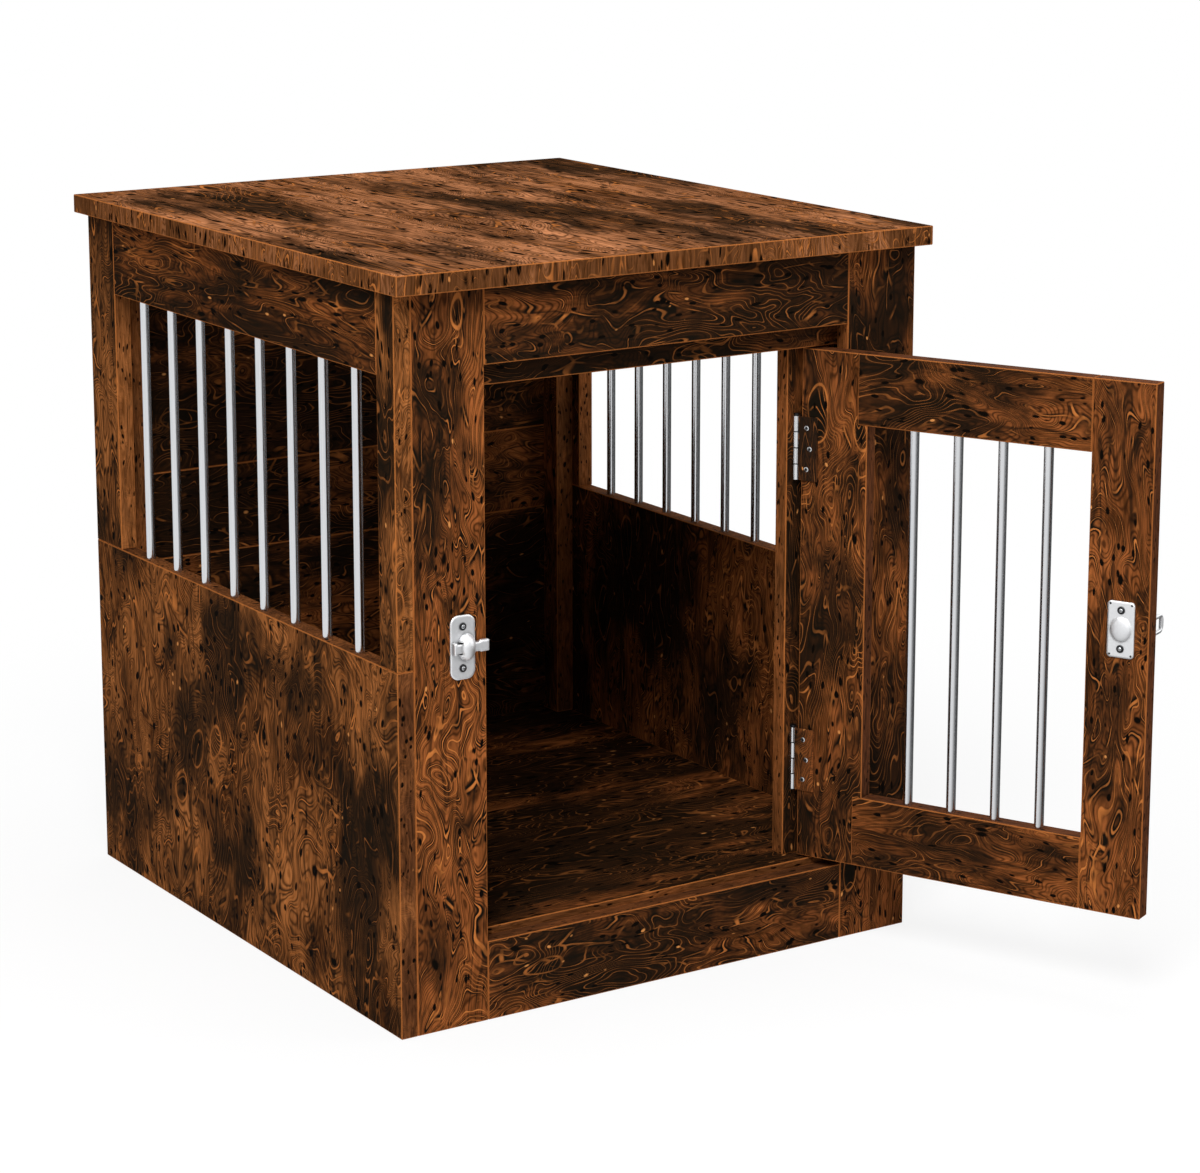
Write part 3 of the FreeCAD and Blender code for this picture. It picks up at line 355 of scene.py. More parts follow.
def burl_board(node, grain, seed, smoke=0.0, lines=1.0, pores=0.22, stretch=1.0, turn=0.0, sheen=0.015, size=1.2,
               tape_share=0.4, tape_lines=0.35, tape_pores=0.4, tape_size=0.6, tape_grain=None,
               tape_pale=BAND_BROWN, tape_dark=BAND_DARK, copper=COPPER_BROWN):
    """Rustic burl laminate on board: satin printed paper with dark smoke and copper lines, arrises lightened as a
    painted highlight, and an edge band in plainer brown."""
    material, tree, point = new_material("rustic_burl_laminate_" + node)
    middle, half = turned_box(node, turn)
    thin = [1.0 if extent == min(half) else 0.0 for extent in half]
    square = add(tree, "ShaderNodeMapping", {"Vector": point, "Rotation": (0.0, 0.0, -turn)}).outputs[0]
    faces = add(tree, "ShaderNodeGroup", {"Point": square, "Middle": middle, "Half": half, "Thin": thin},
                node_tree=BOARD_FACES)
    drawn_out = add(tree, "ShaderNodeVectorMath", {0: square, 1: [1.0 - DRAWN_OUT_SHARE * t for t in thin]},
                    operation="MULTIPLY")
    apart = [seed * step for step in FIGURE_STEP]
    on_face = add(tree, "ShaderNodeMapping", {"Vector": drawn_out.outputs[0], "Rotation": GRAIN_TURN[grain],
                                              "Location": apart})
    on_band = add(tree, "ShaderNodeMapping", {"Vector": square, "Rotation": GRAIN_TURN[tape_grain or grain],
                                              "Location": apart})
    along = add(tree, "ShaderNodeMix", {"Factor": faces.outputs["Band"], "A": on_face.outputs[0],
                                        "B": on_band.outputs[0]}, data_type="VECTOR")
    long = add(tree, "ShaderNodeVectorMath", {0: along.outputs["Result"],
                                              1: (1.0 / stretch / size, 1.0 / size, 1.0 / size)}, operation="MULTIPLY")
    finer = add(tree, "ShaderNodeMapRange", {"Value": faces.outputs["Band"], "To Min": 1.0, "To Max": 1.0 / tape_size})
    long = add(tree, "ShaderNodeVectorMath", {0: long.outputs[0], "Scale": finer.outputs[0]}, operation="SCALE")
    drawn = add(tree, "ShaderNodeMapRange", {"Value": faces.outputs["Band"], "To Min": lines, "To Max": tape_lines})
    holes = add(tree, "ShaderNodeMapRange", {"Value": faces.outputs["Band"], "To Min": pores, "To Max": tape_pores})
    figure = add(tree, "ShaderNodeGroup", {"Grain": long.outputs[0], "Smoke": smoke, "Lines": drawn.outputs[0],
                                           "Pores": holes.outputs[0], "Copper": linear(copper)}, node_tree=BURL_FIGURE)
    streak = add(tree, "ShaderNodeMapRange", {"Value": figure.outputs["Gloss"], "From Min": 0.62, "From Max": 0.675})
    tape = add(tree, "ShaderNodeMix", {"Factor": streak.outputs[0], "A": linear(tape_dark), "B": linear(tape_pale)},
               data_type="RGBA")
    dots = add(tree, "ShaderNodeMath", {0: figure.outputs["Height"], 1: -1.0}, operation="MULTIPLY", use_clamp=True)
    tape = add(tree, "ShaderNodeMix", {"Factor": dots.outputs[0], "A": tape.outputs["Result"], "B": linear(PORE_BLACK)},
               data_type="RGBA")
    edge_share = add(tree, "ShaderNodeMath", {0: faces.outputs["Band"], 1: tape_share}, operation="MULTIPLY")
    colour = add(tree, "ShaderNodeMix", {"Factor": edge_share.outputs[0], "A": figure.outputs["Colour"],
                                         "B": tape.outputs["Result"]}, data_type="RGBA")
    # Painted highlight: the arrises lightened with the line colour
    edge_share = add(tree, "ShaderNodeMath", {0: faces.outputs["Arris"], 1: ARRIS_HIGHLIGHT_SHARE}, operation="MULTIPLY")
    colour = add(tree, "ShaderNodeMix", {"Factor": edge_share.outputs[0], "A": colour.outputs["Result"],
                                         "B": linear(FIGURE_LINE)}, data_type="RGBA")
    relief = add(tree, "ShaderNodeBump", {"Height": figure.outputs["Height"], "Strength": 0.6, "Distance": 0.5 * MM})
    skin = add(tree, "ShaderNodeBsdfPrincipled", {"Base Color": colour.outputs["Result"],
                                                  "Roughness": figure.outputs["Gloss"],
                                                  "Specular IOR Level": sheen, "Normal": relief.outputs[0]})
    add(tree, "ShaderNodeOutputMaterial", {"Surface": skin.outputs[0]})
    dress(node, material)


# Smoke adds to or takes from the dark patches, lines and pores set how many there are, and stretch and size scale the
# figure. The tape values say the same of the thin band round the board.
# The doors' edge bands take the darker browns, painted shade on the door's edges.
DOOR_BAND = dict(turn=DOOR_TURN, tape_share=0.8, tape_pale=DOOR_BAND_SHADED_BROWN, tape_dark=DOOR_BAND_SHADED_DARK)
for seed, (node, grain, wishes) in enumerate([
    ("table_top", "deep", dict(stretch=1.4, size=1.4, lines=0.85, pores=0.6, sheen=0.0, tape_share=0.3, tape_lines=1.6,
                                tape_pores=0.9, tape_size=0.7, tape_grain="upright", copper=TOP_COPPER_PAINTED_SHEEN)),
    ("front_left_stile", "upright", dict(smoke=-0.04, lines=1.4, pores=0.1)),
    ("front_right_stile", "upright", dict(smoke=0.02, lines=1.2, pores=0.1)),
    # The front top rail takes more smoke as painted shade under the top's overhang.
    ("front_top_rail", "across", dict(smoke=0.10, lines=1.2)),
    ("front_bottom_rail", "across", dict(smoke=0.04, lines=1.2, tape_share=0.7, tape_pale=THRESHOLD_BROWN,
                                         tape_dark=THRESHOLD_DARK)),
    ("door_head_rail", "across", {}),
    ("left_side_panel", "upright", dict(sheen=0.005, tape_share=0.6, tape_lines=0.6, tape_pale=WINDOW_SILL_BROWN,
                                        tape_dark=WINDOW_SILL_DARK, size=1.8, stretch=0.65, copper=SIDE_COPPER_PAINTED_LIGHT)),
    # The right side panel, seen from inside, takes more smoke as painted shade.
    ("right_side_panel", "upright", dict(smoke=0.05)),
    ("left_front_stile", "upright", dict(sheen=0.005, tape_share=0.15, tape_lines=1.0, size=1.4, copper=SIDE_COPPER_PAINTED_LIGHT)),
    ("right_front_stile", "upright", {}),
    ("left_rear_stile", "upright", dict(sheen=0.005, size=1.4, copper=SIDE_COPPER_PAINTED_LIGHT)),
    ("right_rear_stile", "upright", {}),
    ("left_top_rail", "deep", dict(smoke=0.04, sheen=0.005, stretch=1.6)),
    ("right_top_rail", "deep", {}),
    # The back and floor panels inside the crate take more smoke as painted shade.
    ("back_lower_panel", "across", dict(smoke=0.05)),
    ("back_middle_panel", "across", dict(smoke=0.05)),
    ("back_upper_panel", "across", dict(smoke=0.05)),
    ("floor_panel", "across", dict(stretch=1.3, lines=0.8, pores=0.6, smoke=0.09, sheen=0.0)),
    ("front_left_post", "upright", {}),
    ("front_right_post", "upright", {}),
    ("rear_left_post", "upright", {}),
    ("rear_right_post", "upright", {}),
    ("hinge_jamb", "upright", {}),
    ("door_hinge_stile", "upright", dict(DOOR_BAND, smoke=0.03, lines=1.2, pores=0.1)),
    ("door_free_stile", "upright", dict(DOOR_BAND, smoke=-0.12, lines=1.2)),
    ("door_top_rail", "across", dict(DOOR_BAND, smoke=0.03)),
    ("door_bottom_rail", "across", dict(DOOR_BAND, smoke=-0.01)),
], start=1):
    burl_board(node, grain, seed, **wishes)


def metal(name, colour, dull, roughness, streak, bump, corner_shade=0.0, rim=0.0):
    """A metal whose surface has fine marks: streak gives the marks' spacing along X, Y and Z in metres. The second last
    argument is the reach of painted shade that darkens its corners, and the last the width of a painted white
    highlight along its edges."""
    material, tree, point = new_material(name)
    at = add(tree, "ShaderNodeVectorMath", {0: point, 1: [1.0 / s for s in streak]}, operation="MULTIPLY")
    marks = add(tree, "ShaderNodeTexNoise", {"Vector": at.outputs[0], "Scale": 1.0, "Detail": 3.0})
    colour = add(tree, "ShaderNodeMix", {"Factor": marks.outputs["Fac"], "A": linear(dull), "B": linear(colour)},
                 data_type="RGBA")
    # Painted shade: darker where other surfaces crowd close
    if corner_shade:
        corner = add(tree, "ShaderNodeAmbientOcclusion", {"Distance": corner_shade}, samples=8)
        corner = add(tree, "ShaderNodeMapRange", {"Value": corner.outputs["AO"], "From Min": 0.35, "From Max": 0.95,
                                                  "To Min": 0.25, "To Max": 1.0})
        colour = add(tree, "ShaderNodeMix", {"Factor": corner.outputs[0], "A": linear(CORNER_PAINTED_SHADE),
                                             "B": colour.outputs["Result"]}, data_type="RGBA")
    # Painted highlight: a white line along the edges
    if rim:
        bent = add(tree, "ShaderNodeBevel", {"Radius": rim}, samples=6).outputs[0]
        flat = add(tree, "ShaderNodeNewGeometry").outputs["Normal"]
        edge = add(tree, "ShaderNodeVectorMath", {0: bent, 1: flat}, operation="DOT_PRODUCT")
        edge = add(tree, "ShaderNodeMapRange", {"Value": edge.outputs["Value"], "From Min": 0.985, "From Max": 0.90})
        colour = add(tree, "ShaderNodeMix", {"Factor": edge.outputs[0], "A": colour.outputs["Result"],
                                             "B": linear(EDGE_HIGHLIGHT_WHITE)}, data_type="RGBA")
    rough = add(tree, "ShaderNodeMapRange", {"Value": marks.outputs["Fac"], "To Min": roughness[0],
                                             "To Max": roughness[1]})
    relief = add(tree, "ShaderNodeBump", {"Height": marks.outputs["Fac"], "Strength": bump, "Distance": 0.1 * MM})
    if rim:
        soft = add(tree, "ShaderNodeBevel", {"Radius": 2.0 * rim}, samples=8).outputs[0]
        tree.links.new(soft, relief.inputs["Normal"])
    skin = add(tree, "ShaderNodeBsdfPrincipled", {"Base Color": colour.outputs["Result"], "Metallic": 1.0,
                                                  "Roughness": rough.outputs[0], "Normal": relief.outputs[0]})
    add(tree, "ShaderNodeOutputMaterial", {"Surface": skin.outputs[0]})
    return material


# Drawn steel rod, bright plated: fine lines along the rod, sharp white and dark reflections
BAR_STEEL = metal("bright_plated_steel_rod", "#e2e3e5", "#c9cbce", (0.12, 0.26),
                  (0.6 * MM, 0.6 * MM, 60 * MM), 0.05)
# Pressed zinc with satin nickel plate: even pale grey with a soft cloudy sheen, with painted shade in its corners
# and a painted white highlight along its edges
LATCH_NICKEL = metal("satin_nickel_plate", "#eaebed", "#d9dadc", (0.44, 0.52), (2 * MM, 2 * MM, 2 * MM), 0.05,
                     corner_shade=3.0 * MM, rim=1.3 * MM)
# Zinc plated screws: bright with a faint bluish cast
SCREW_ZINC = metal("zinc_plated_screw", "#cfd1d4", "#aeb0b3", (0.22, 0.36), (1.5 * MM, 1.5 * MM, 1.5 * MM), 0.08)
for node in ("left_bars", "right_bars", "door_bars"):
    dress(node, BAR_STEEL)
for node in ("latch_plate", "latch_housing", "latch_bolt", "keeper_back_plate", "keeper_loop"):
    dress(node, LATCH_NICKEL)
# Near-black steel: painted shade in the gaps between the hinge knuckles, round screw heads and in their recesses
BLACK_STEEL_AND_PAINTED_SHADE = metal("black_steel_and_painted_shade", "#3a3b3d", "#232425", (0.30, 0.45), (1.0 * MM, 1.0 * MM, 8 * MM), 0.08)
# Zinc plated hinge screws: a bright rim round a cross recess, darkened in the recess by painted shade
SCREW_RING = metal("zinc_plated_hinge_screw", "#e2e3e5", "#c8cacc", (0.22, 0.34),
                   (1.5 * MM, 1.5 * MM, 1.5 * MM), 0.08, corner_shade=2.0 * MM)
for node in ("latch_screws", "keeper_screws", "hinge_frame_screws", "hinge_door_screws", "top_screws"):
    dress(node, SCREW_ZINC)
for node in ("upper_hinge_pin", "lower_hinge_pin"):
    dress(node, BLACK_STEEL_AND_PAINTED_SHADE)


def hinge_leaf_steel():
    """Hinge leaf under dark wood-figured foil, left bright on its rolled knuckle."""
    material, tree, point = new_material("foil_coated_hinge_steel")
    flat = add(tree, "ShaderNodeVectorMath", {0: point, 1: (1.0, 1.0, 0.0)}, operation="MULTIPLY")
    away = add(tree, "ShaderNodeVectorMath", {0: flat.outputs[0], 1: HINGE_AXIS}, operation="DISTANCE")
    bright = add(tree, "ShaderNodeMapRange", {"Value": away.outputs["Value"], "From Min": FOIL_START,
                                              "From Max": KNUCKLE_END})
    # Grit of the foil's paint, drawn 2 mm coarse so that it shows
    at = add(tree, "ShaderNodeVectorMath", {0: point, 1: (500.0, 500.0, 500.0)}, operation="MULTIPLY")
    grit = add(tree, "ShaderNodeTexNoise", {"Vector": at.outputs[0], "Scale": 1.0, "Detail": 2.0})
    upright = add(tree, "ShaderNodeMapping", {"Vector": point, "Rotation": GRAIN_TURN["upright"]})
    foil = add(tree, "ShaderNodeGroup", {"Grain": upright.outputs[0], "Smoke": 0.0, "Lines": 1.0, "Pores": 0.1,
                                         "Copper": linear(COPPER_BROWN)}, node_tree=BURL_FIGURE)
    colour = add(tree, "ShaderNodeMix", {"Factor": bright.outputs[0], "A": foil.outputs["Colour"],
                                         "B": linear(KNUCKLE_STEEL)}, data_type="RGBA")
    rough = add(tree, "ShaderNodeMapRange", {"Value": bright.outputs[0], "To Min": 0.5, "To Max": 0.25})
    relief = add(tree, "ShaderNodeBump", {"Height": grit.outputs["Fac"], "Strength": 0.1, "Distance": 0.1 * MM})
    skin = add(tree, "ShaderNodeBsdfPrincipled", {"Base Color": colour.outputs["Result"], "Metallic": bright.outputs[0],
                                                  "Roughness": rough.outputs[0], "Specular IOR Level": 0.05,
                                                  "Normal": relief.outputs[0]})
    add(tree, "ShaderNodeOutputMaterial", {"Surface": skin.outputs[0]})
    return material


HINGE_STEEL = hinge_leaf_steel()
for node in ("upper_hinge_frame_leaf", "upper_hinge_door_leaf", "lower_hinge_frame_leaf", "lower_hinge_door_leaf"):
    dress(node, HINGE_STEEL)


def screw_seats(node, outward):
    """Where each screw of a node shows: the middle of its head's outer face."""
    groups = []
    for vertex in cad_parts[node].data.vertices:
        flat = vertex.co - outward * vertex.co.dot(outward)
        near = [g for g in groups if (g[0] - flat).length < SCREW_REACH]
        if near:
            near[0].append(flat)
        else:
            groups.append([flat])
    top = max(v.co.dot(outward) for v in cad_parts[node].data.vertices)
    seats = []
    for group in groups:
        low = Vector([min(f[i] for f in group) for i in range(3)])
        high = Vector([max(f[i] for f in group) for i in range(3)])
        seats.append((low + high) / 2 + outward * top)
    return seats


def cross_head_tree():
    """Screws on the points of a mesh: a domed head with a cross recess, and a short shank behind it."""
    tree = bpy.data.node_groups.new("cross_head_screws", "GeometryNodeTree")
    tree.interface.new_socket("Seats", in_out="INPUT", socket_type="NodeSocketGeometry")
    for label in ("Head Radius", "Dome Height", "Cross Length", "Cross Width", "Cross Depth", "Shank Radius",
                  "Shank Length"):
        tree.interface.new_socket(label, in_out="INPUT", socket_type=NUMBER)
    tree.interface.new_socket("Turn", in_out="INPUT", socket_type="NodeSocketRotation")
    tree.interface.new_socket("Finish", in_out="INPUT", socket_type="NodeSocketMaterial")
    tree.interface.new_socket("Screws", in_out="OUTPUT", socket_type="NodeSocketGeometry")
    start = tree.nodes.new("NodeGroupInput").outputs
    end = tree.nodes.new("NodeGroupOutput")
    ball = add(tree, "GeometryNodeMeshUVSphere", {"Segments": 24, "Rings": 12, "Radius": start["Head Radius"]})
    share = add(tree, "ShaderNodeMath", {0: start["Dome Height"], 1: start["Head Radius"]}, operation="DIVIDE")
    squat = add(tree, "ShaderNodeCombineXYZ", {0: 1.0, 1: 1.0, 2: share.outputs[0]})
    dome = add(tree, "GeometryNodeTransform", {"Geometry": ball.outputs["Mesh"], "Scale": squat.outputs[0]})
    length, width, depth = (start["Cross " + label] for label in ("Length", "Width", "Depth"))
    long = add(tree, "ShaderNodeCombineXYZ", {0: length, 1: width, 2: depth})
    wide = add(tree, "ShaderNodeCombineXYZ", {0: width, 1: length, 2: depth})
    lift = add(tree, "ShaderNodeCombineXYZ", {0: 0.0, 1: 0.0, 2: start["Dome Height"]})
    bar_a = add(tree, "GeometryNodeMeshCube", {"Size": long.outputs[0]})
    bar_b = add(tree, "GeometryNodeMeshCube", {"Size": wide.outputs[0]})
    bar_a = add(tree, "GeometryNodeTransform", {"Geometry": bar_a.outputs["Mesh"], "Translation": lift.outputs[0]})
    bar_b = add(tree, "GeometryNodeTransform", {"Geometry": bar_b.outputs["Mesh"], "Translation": lift.outputs[0]})
    cut = add(tree, "GeometryNodeMeshBoolean", {"Mesh 1": dome.outputs[0], "Mesh 2": bar_a.outputs[0]},
              operation="DIFFERENCE")
    cut = add(tree, "GeometryNodeMeshBoolean", {"Mesh 1": cut.outputs["Mesh"], "Mesh 2": bar_b.outputs[0]},
              operation="DIFFERENCE")
    back = add(tree, "ShaderNodeMath", {0: start["Shank Length"], 1: -0.5}, operation="MULTIPLY")
    back = add(tree, "ShaderNodeCombineXYZ", {0: 0.0, 1: 0.0, 2: back.outputs[0]})
    shank = add(tree, "GeometryNodeMeshCylinder", {"Vertices": 16, "Radius": start["Shank Radius"],
                                                   "Depth": start["Shank Length"]})
    shank = add(tree, "GeometryNodeTransform", {"Geometry": shank.outputs["Mesh"], "Translation": back.outputs[0]})
    whole = add(tree, "GeometryNodeJoinGeometry")
    tree.links.new(cut.outputs["Mesh"], whole.inputs[0])
    tree.links.new(shank.outputs[0], whole.inputs[0])
    placed = add(tree, "GeometryNodeInstanceOnPoints", {"Points": start["Seats"], "Instance": whole.outputs[0],
                                                        "Rotation": start["Turn"]})
    real = add(tree, "GeometryNodeRealizeInstances", {0: placed.outputs[0]})
    done = add(tree, "GeometryNodeSetMaterial", {"Geometry": real.outputs[0], "Material": start["Finish"]})
    tree.links.new(done.outputs[0], end.inputs[0])
    return tree


CROSS_HEAD = cross_head_tree()


def cross_head_screws(name, body, seats, outward, sizes, finish):
    """One piece with a screw at each seat, facing outward."""
    points = bpy.data.meshes.new(name + "_seats")
    points.from_pydata(seats, [], [])
    holder = bpy.data.objects.new(name + "_seats", points)
    bpy.context.scene.collection.objects.link(holder)
    grow = holder.modifiers.new("screws", "NODES")
    grow.node_group = CROSS_HEAD
    wishes = dict(sizes, Turn=outward.to_track_quat("Z", "Y").to_euler(), Finish=finish)
    for socket in CROSS_HEAD.interface.items_tree:
        if socket.name in wishes:
            grow[socket.identifier] = wishes[socket.name]
    bpy.context.view_layer.update()
    seen = holder.evaluated_get(bpy.context.evaluated_depsgraph_get())
    mesh = bpy.data.meshes.new_from_object(seen)
    bpy.data.objects.remove(holder)
    mesh.name = name
    piece = bpy.data.objects.new(name, mesh)
    bpy.context.scene.collection.objects.link(piece)
    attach(piece, body)
    return piece


DOOR_INSIDE = Vector((cos(DOOR_TURN + radians(90.0)), sin(DOOR_TURN + radians(90.0)), 0.0))
FRONT = Vector((0.0, -1.0, 0.0))
PAN_SCREW = {"Head Radius": 1.9 * MM, "Dome Height": 1.1 * MM, "Cross Length": 2.4 * MM, "Cross Width": 0.6 * MM,
             "Cross Depth": 0.9 * MM, "Shank Radius": 1.4 * MM, "Shank Length": 9.0 * MM}
PAN_SHADE_RING = {"Head Radius": 3.1 * MM, "Dome Height": 0.7 * MM, "Cross Length": 1.0 * MM, "Cross Width": 0.5 * MM,
            "Cross Depth": 0.3 * MM, "Shank Radius": 1.3 * MM, "Shank Length": 1.2 * MM}
HINGE_SCREW = {"Head Radius": 2.5 * MM, "Dome Height": 0.6 * MM, "Cross Length": 2.8 * MM, "Cross Width": 1.5 * MM,
               "Cross Depth": 1.1 * MM, "Shank Radius": 1.3 * MM, "Shank Length": 9.0 * MM}
HINGE_RECESS_SHADE = {"Head Radius": 1.15 * MM, "Dome Height": 0.62 * MM, "Cross Length": 1.6 * MM, "Cross Width": 0.5 * MM,
                "Cross Depth": 0.5 * MM, "Shank Radius": 0.8 * MM, "Shank Length": 1.0 * MM}
# Each screw gets a near-black ring round its head or a near-black inlay in its recess, as painted shade.
for name, body, node, outward, sizes, finish, shade_piece in (
        ("latch_cross_screws", "cabinet", "latch_screws", FRONT, PAN_SCREW, SCREW_ZINC,
         ("latch_screw_shade_rings", PAN_SHADE_RING)),
        ("keeper_cross_screws", "door", "keeper_screws", DOOR_INSIDE, PAN_SCREW, SCREW_ZINC,
         ("keeper_screw_shade_rings", PAN_SHADE_RING)),
        ("hinge_cross_screws", "door", "hinge_door_screws", DOOR_INSIDE, HINGE_SCREW, SCREW_RING,
         ("hinge_screw_recess_shades", HINGE_RECESS_SHADE))):
    seats = [seat - outward * sizes["Dome Height"] for seat in screw_seats(node, outward)]
    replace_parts(cross_head_screws(name, body, seats, outward, sizes, finish), node)
    cross_head_screws(shade_piece[0], body, seats, outward, shade_piece[1], BLACK_STEEL_AND_PAINTED_SHADE)

# Four dark studs near the corners of the keeper's back plate
STUD = {"Head Radius": 0.9 * MM, "Dome Height": 0.35 * MM, "Cross Length": 0.7 * MM, "Cross Width": 0.25 * MM,
        "Cross Depth": 0.2 * MM, "Shank Radius": 0.5 * MM, "Shank Length": 1.0 * MM}
STUD_INSET = 2.3 * MM
BOSS_DEPTH = 2.5 * MM
middle, half = turned_box("keeper_back_plate", DOOR_TURN)
stud_spread = half - Vector((STUD_INSET, BOSS_DEPTH, STUD_INSET))
seats = [Matrix.Rotation(DOOR_TURN, 3, "Z") @ (middle + stud_spread * Vector((x, 1.0, z)))
         for x in (-1.0, 1.0) for z in (-1.0, 1.0)]
cross_head_screws("keeper_corner_studs", "door", seats, DOOR_INSIDE, STUD, BLACK_STEEL_AND_PAINTED_SHADE)


def plain_wood(name, pale, dark, grain):
    """Plain sawn wood: pale early wood and darker late wood in lines 2.5 mm apart."""
    material, tree, point = new_material(name)
    along = add(tree, "ShaderNodeMapping", {"Vector": point, "Rotation": GRAIN_TURN[grain]})
    at = add(tree, "ShaderNodeVectorMath", {0: along.outputs[0], 1: (12.0, 400.0, 400.0)}, operation="MULTIPLY")
    rings = add(tree, "ShaderNodeTexNoise", {"Vector": at.outputs[0], "Scale": 1.0, "Detail": 3.0})
    colour = add(tree, "ShaderNodeMix", {"Factor": rings.outputs["Fac"], "A": linear(dark), "B": linear(pale)},
                 data_type="RGBA")
    rough = add(tree, "ShaderNodeMapRange", {"Value": rings.outputs["Fac"], "To Min": 0.6, "To Max": 0.8})
    relief = add(tree, "ShaderNodeBump", {"Height": rings.outputs["Fac"], "Strength": 0.2, "Distance": 0.2 * MM})
    skin = add(tree, "ShaderNodeBsdfPrincipled", {"Base Color": colour.outputs["Result"],
                                                  "Roughness": rough.outputs[0], "Normal": relief.outputs[0]})
    add(tree, "ShaderNodeOutputMaterial", {"Surface": skin.outputs[0]})
    return material


# Sawn softwood of the cleats and the floor rail: dull brown with fine straight lines
SOFTWOOD_DEEP = plain_wood("sawn_softwood_cleat", "#7d5a38", "#57391f", "deep")
SOFTWOOD_ACROSS = plain_wood("sawn_softwood_rail", "#7d5a38", "#57391f", "across")
# Turned beech of the dowels: pale and close-grained
BEECH = plain_wood("beech_dowel", "#c9a276", "#a97c50", "across")
for node in ("left_top_cleat", "right_top_cleat", "left_front_floor_cleat", "left_rear_floor_cleat",
             "right_front_floor_cleat", "right_rear_floor_cleat"):
    dress(node, SOFTWOOD_DEEP)
dress("floor_support_rail", SOFTWOOD_ACROSS)
for node in ("front_dowels", "door_dowels"):
    dress(node, BEECH)


# Stage: a pale floor that keeps a faint shadow, and a white surround that metal also shows
def seen_directly(tree):
    """1 where a camera, glossy or transmitted ray looks at the surface, 0 for light that bounces on."""
    ray = add(tree, "ShaderNodeLightPath").outputs
    seen = add(tree, "ShaderNodeMath", {0: ray["Is Camera Ray"], 1: ray["Is Glossy Ray"]}, operation="ADD")
    return add(tree, "ShaderNodeMath", {0: seen.outputs[0], 1: ray["Is Transmission Ray"]}, operation="ADD",
               use_clamp=True).outputs[0]


WHITE = linear("#ffffff")
FLOOR_HALF = 6.0
FLOOR_DROP = 0.3 * MM
floor_mesh = bpy.data.meshes.new("floor")
floor_mesh.from_pydata([(x * FLOOR_HALF, y * FLOOR_HALF, -FLOOR_DROP) for x, y in ((-1, -1), (1, -1), (1, 1), (-1, 1))],
                       [], [(0, 1, 2, 3)])
floor = bpy.data.objects.new("floor", floor_mesh)
bpy.context.scene.collection.objects.link(floor)
# White paper: matt, plain white further out, and near the crate with part of its own shading, so that a shadow shows
paper, tree, point = new_material("white_paper_floor")
away = add(tree, "ShaderNodeVectorMath", {0: point}, operation="LENGTH")
plain = add(tree, "ShaderNodeMapRange", {"Value": away.outputs["Value"], "From Min": 0.45, "From Max": 1.1,
                                         "To Min": 0.82, "To Max": 1.0}, interpolation_type="SMOOTHSTEP")
glow = add(tree, "ShaderNodeMath", {0: seen_directly(tree), 1: plain.outputs[0]}, operation="MULTIPLY")
matt = add(tree, "ShaderNodeBsdfDiffuse", {"Color": linear(PAPER_WHITE)})
# In reflections only, the floor glows bright towards one side and dims away from it, a painted reflection which
# rounds the bars.
REFLECTED_BRIGHT_AZIMUTH = radians(188.0)
REFLECTED_BRIGHT_WAY = (cos(REFLECTED_BRIGHT_AZIMUTH), sin(REFLECTED_BRIGHT_AZIMUTH), 0.0)
way = add(tree, "ShaderNodeVectorMath", {0: point}, operation="NORMALIZE").outputs[0]
shown = add(tree, "ShaderNodeVectorMath", {0: way, 1: REFLECTED_BRIGHT_WAY}, operation="DOT_PRODUCT")
shown = add(tree, "ShaderNodeMapRange", {"Value": shown.outputs["Value"], "From Min": -0.38, "From Max": 0.60,
                                         "To Min": 0.08, "To Max": 1.0}, interpolation_type="SMOOTHSTEP")
mirrored = add(tree, "ShaderNodeLightPath").outputs["Is Glossy Ray"]
shown = add(tree, "ShaderNodeMapRange", {"Value": mirrored, "To Min": 1.0, "To Max": shown.outputs[0]})
white = add(tree, "ShaderNodeEmission", {"Color": WHITE, "Strength": shown.outputs[0]})
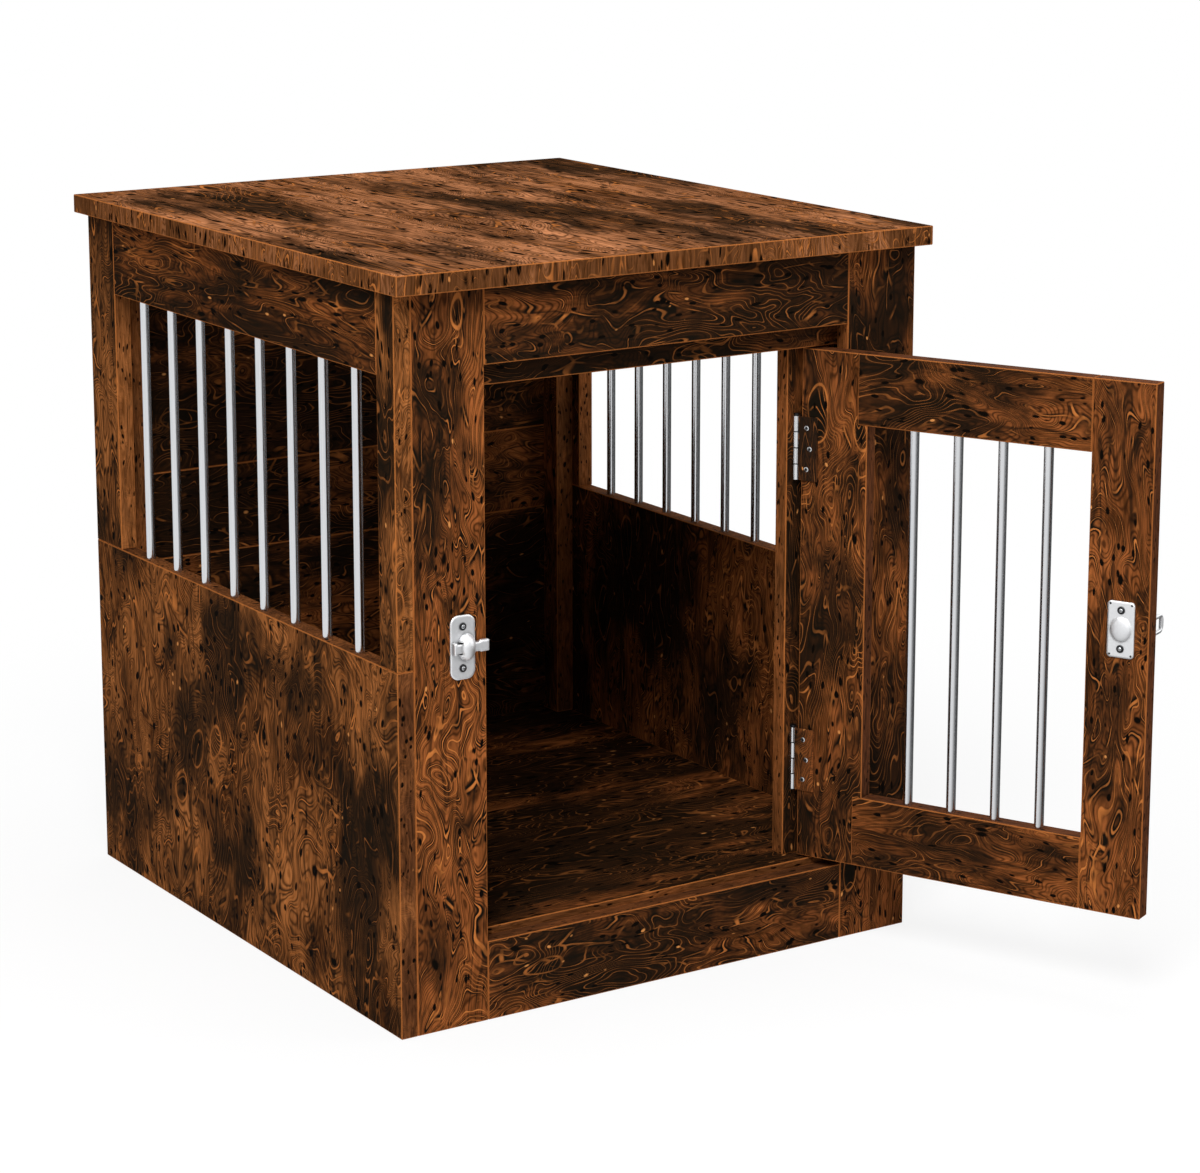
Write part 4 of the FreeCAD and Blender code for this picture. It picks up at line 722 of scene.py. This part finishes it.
mixed = add(tree, "ShaderNodeMixShader", {0: glow.outputs[0], 1: matt.outputs[0], 2: white.outputs[0]})
add(tree, "ShaderNodeOutputMaterial", {"Surface": mixed.outputs[0]})
floor_mesh.materials.append(paper)

# The surround is white to the eye and in metal, and lights the crate only this much.
AMBIENT = 0.10
world = bpy.data.worlds.new("white_studio")
bpy.context.scene.world = world
world.use_nodes = True
tree = world.node_tree
tree.nodes.clear()
level = add(tree, "ShaderNodeMapRange", {"Value": seen_directly(tree), "To Min": AMBIENT, "To Max": 1.0})
sky = add(tree, "ShaderNodeBackground", {"Color": WHITE, "Strength": level.outputs[0]})
add(tree, "ShaderNodeOutputWorld", {"Surface": sky.outputs[0]})


def softbox(name, place, aim, size, watts):
    """A square soft light at a place, facing a point."""
    lamp = bpy.data.lights.new(name, "AREA")
    lamp.shape = "SQUARE"
    lamp.size = size
    lamp.energy = watts
    thing = bpy.data.objects.new(name, lamp)
    thing.location = place
    thing.rotation_euler = (Vector(aim) - Vector(place)).to_track_quat("-Z", "Y").to_euler()
    bpy.context.scene.collection.objects.link(thing)


CRATE_MIDDLE = (0.0, 0.0, 0.35)
softbox("key_softbox", (-1.6, -1.85, 3.0), CRATE_MIDDLE, 1.6, 125.0)
softbox("top_softbox", (0.2, 0.1, 3.2), CRATE_MIDDLE, 1.8, 48.0)
softbox("fill_softbox", (2.2, -1.8, 1.2), CRATE_MIDDLE, 1.4, 15.0)

# Fitted to the photograph: it looks down a little on the front left corner.
CAMERA_DOWN = radians(11.519)
CAMERA_TURN = radians(-33.09)
camera_data = bpy.data.cameras.new("photo_camera")
camera_data.sensor_width = 36.0
camera_data.lens = 100.566
camera_data.shift_y = -0.12
camera_data.clip_end = 100.0
camera = bpy.data.objects.new("photo_camera", camera_data)
camera.location = (-1.4817, -2.4493, 0.9897)
camera.rotation_euler = (radians(90.0) - CAMERA_DOWN, 0.0, CAMERA_TURN)
bpy.context.scene.collection.objects.link(camera)
bpy.context.scene.camera = camera
bpy.context.scene.view_settings.view_transform = "Standard"
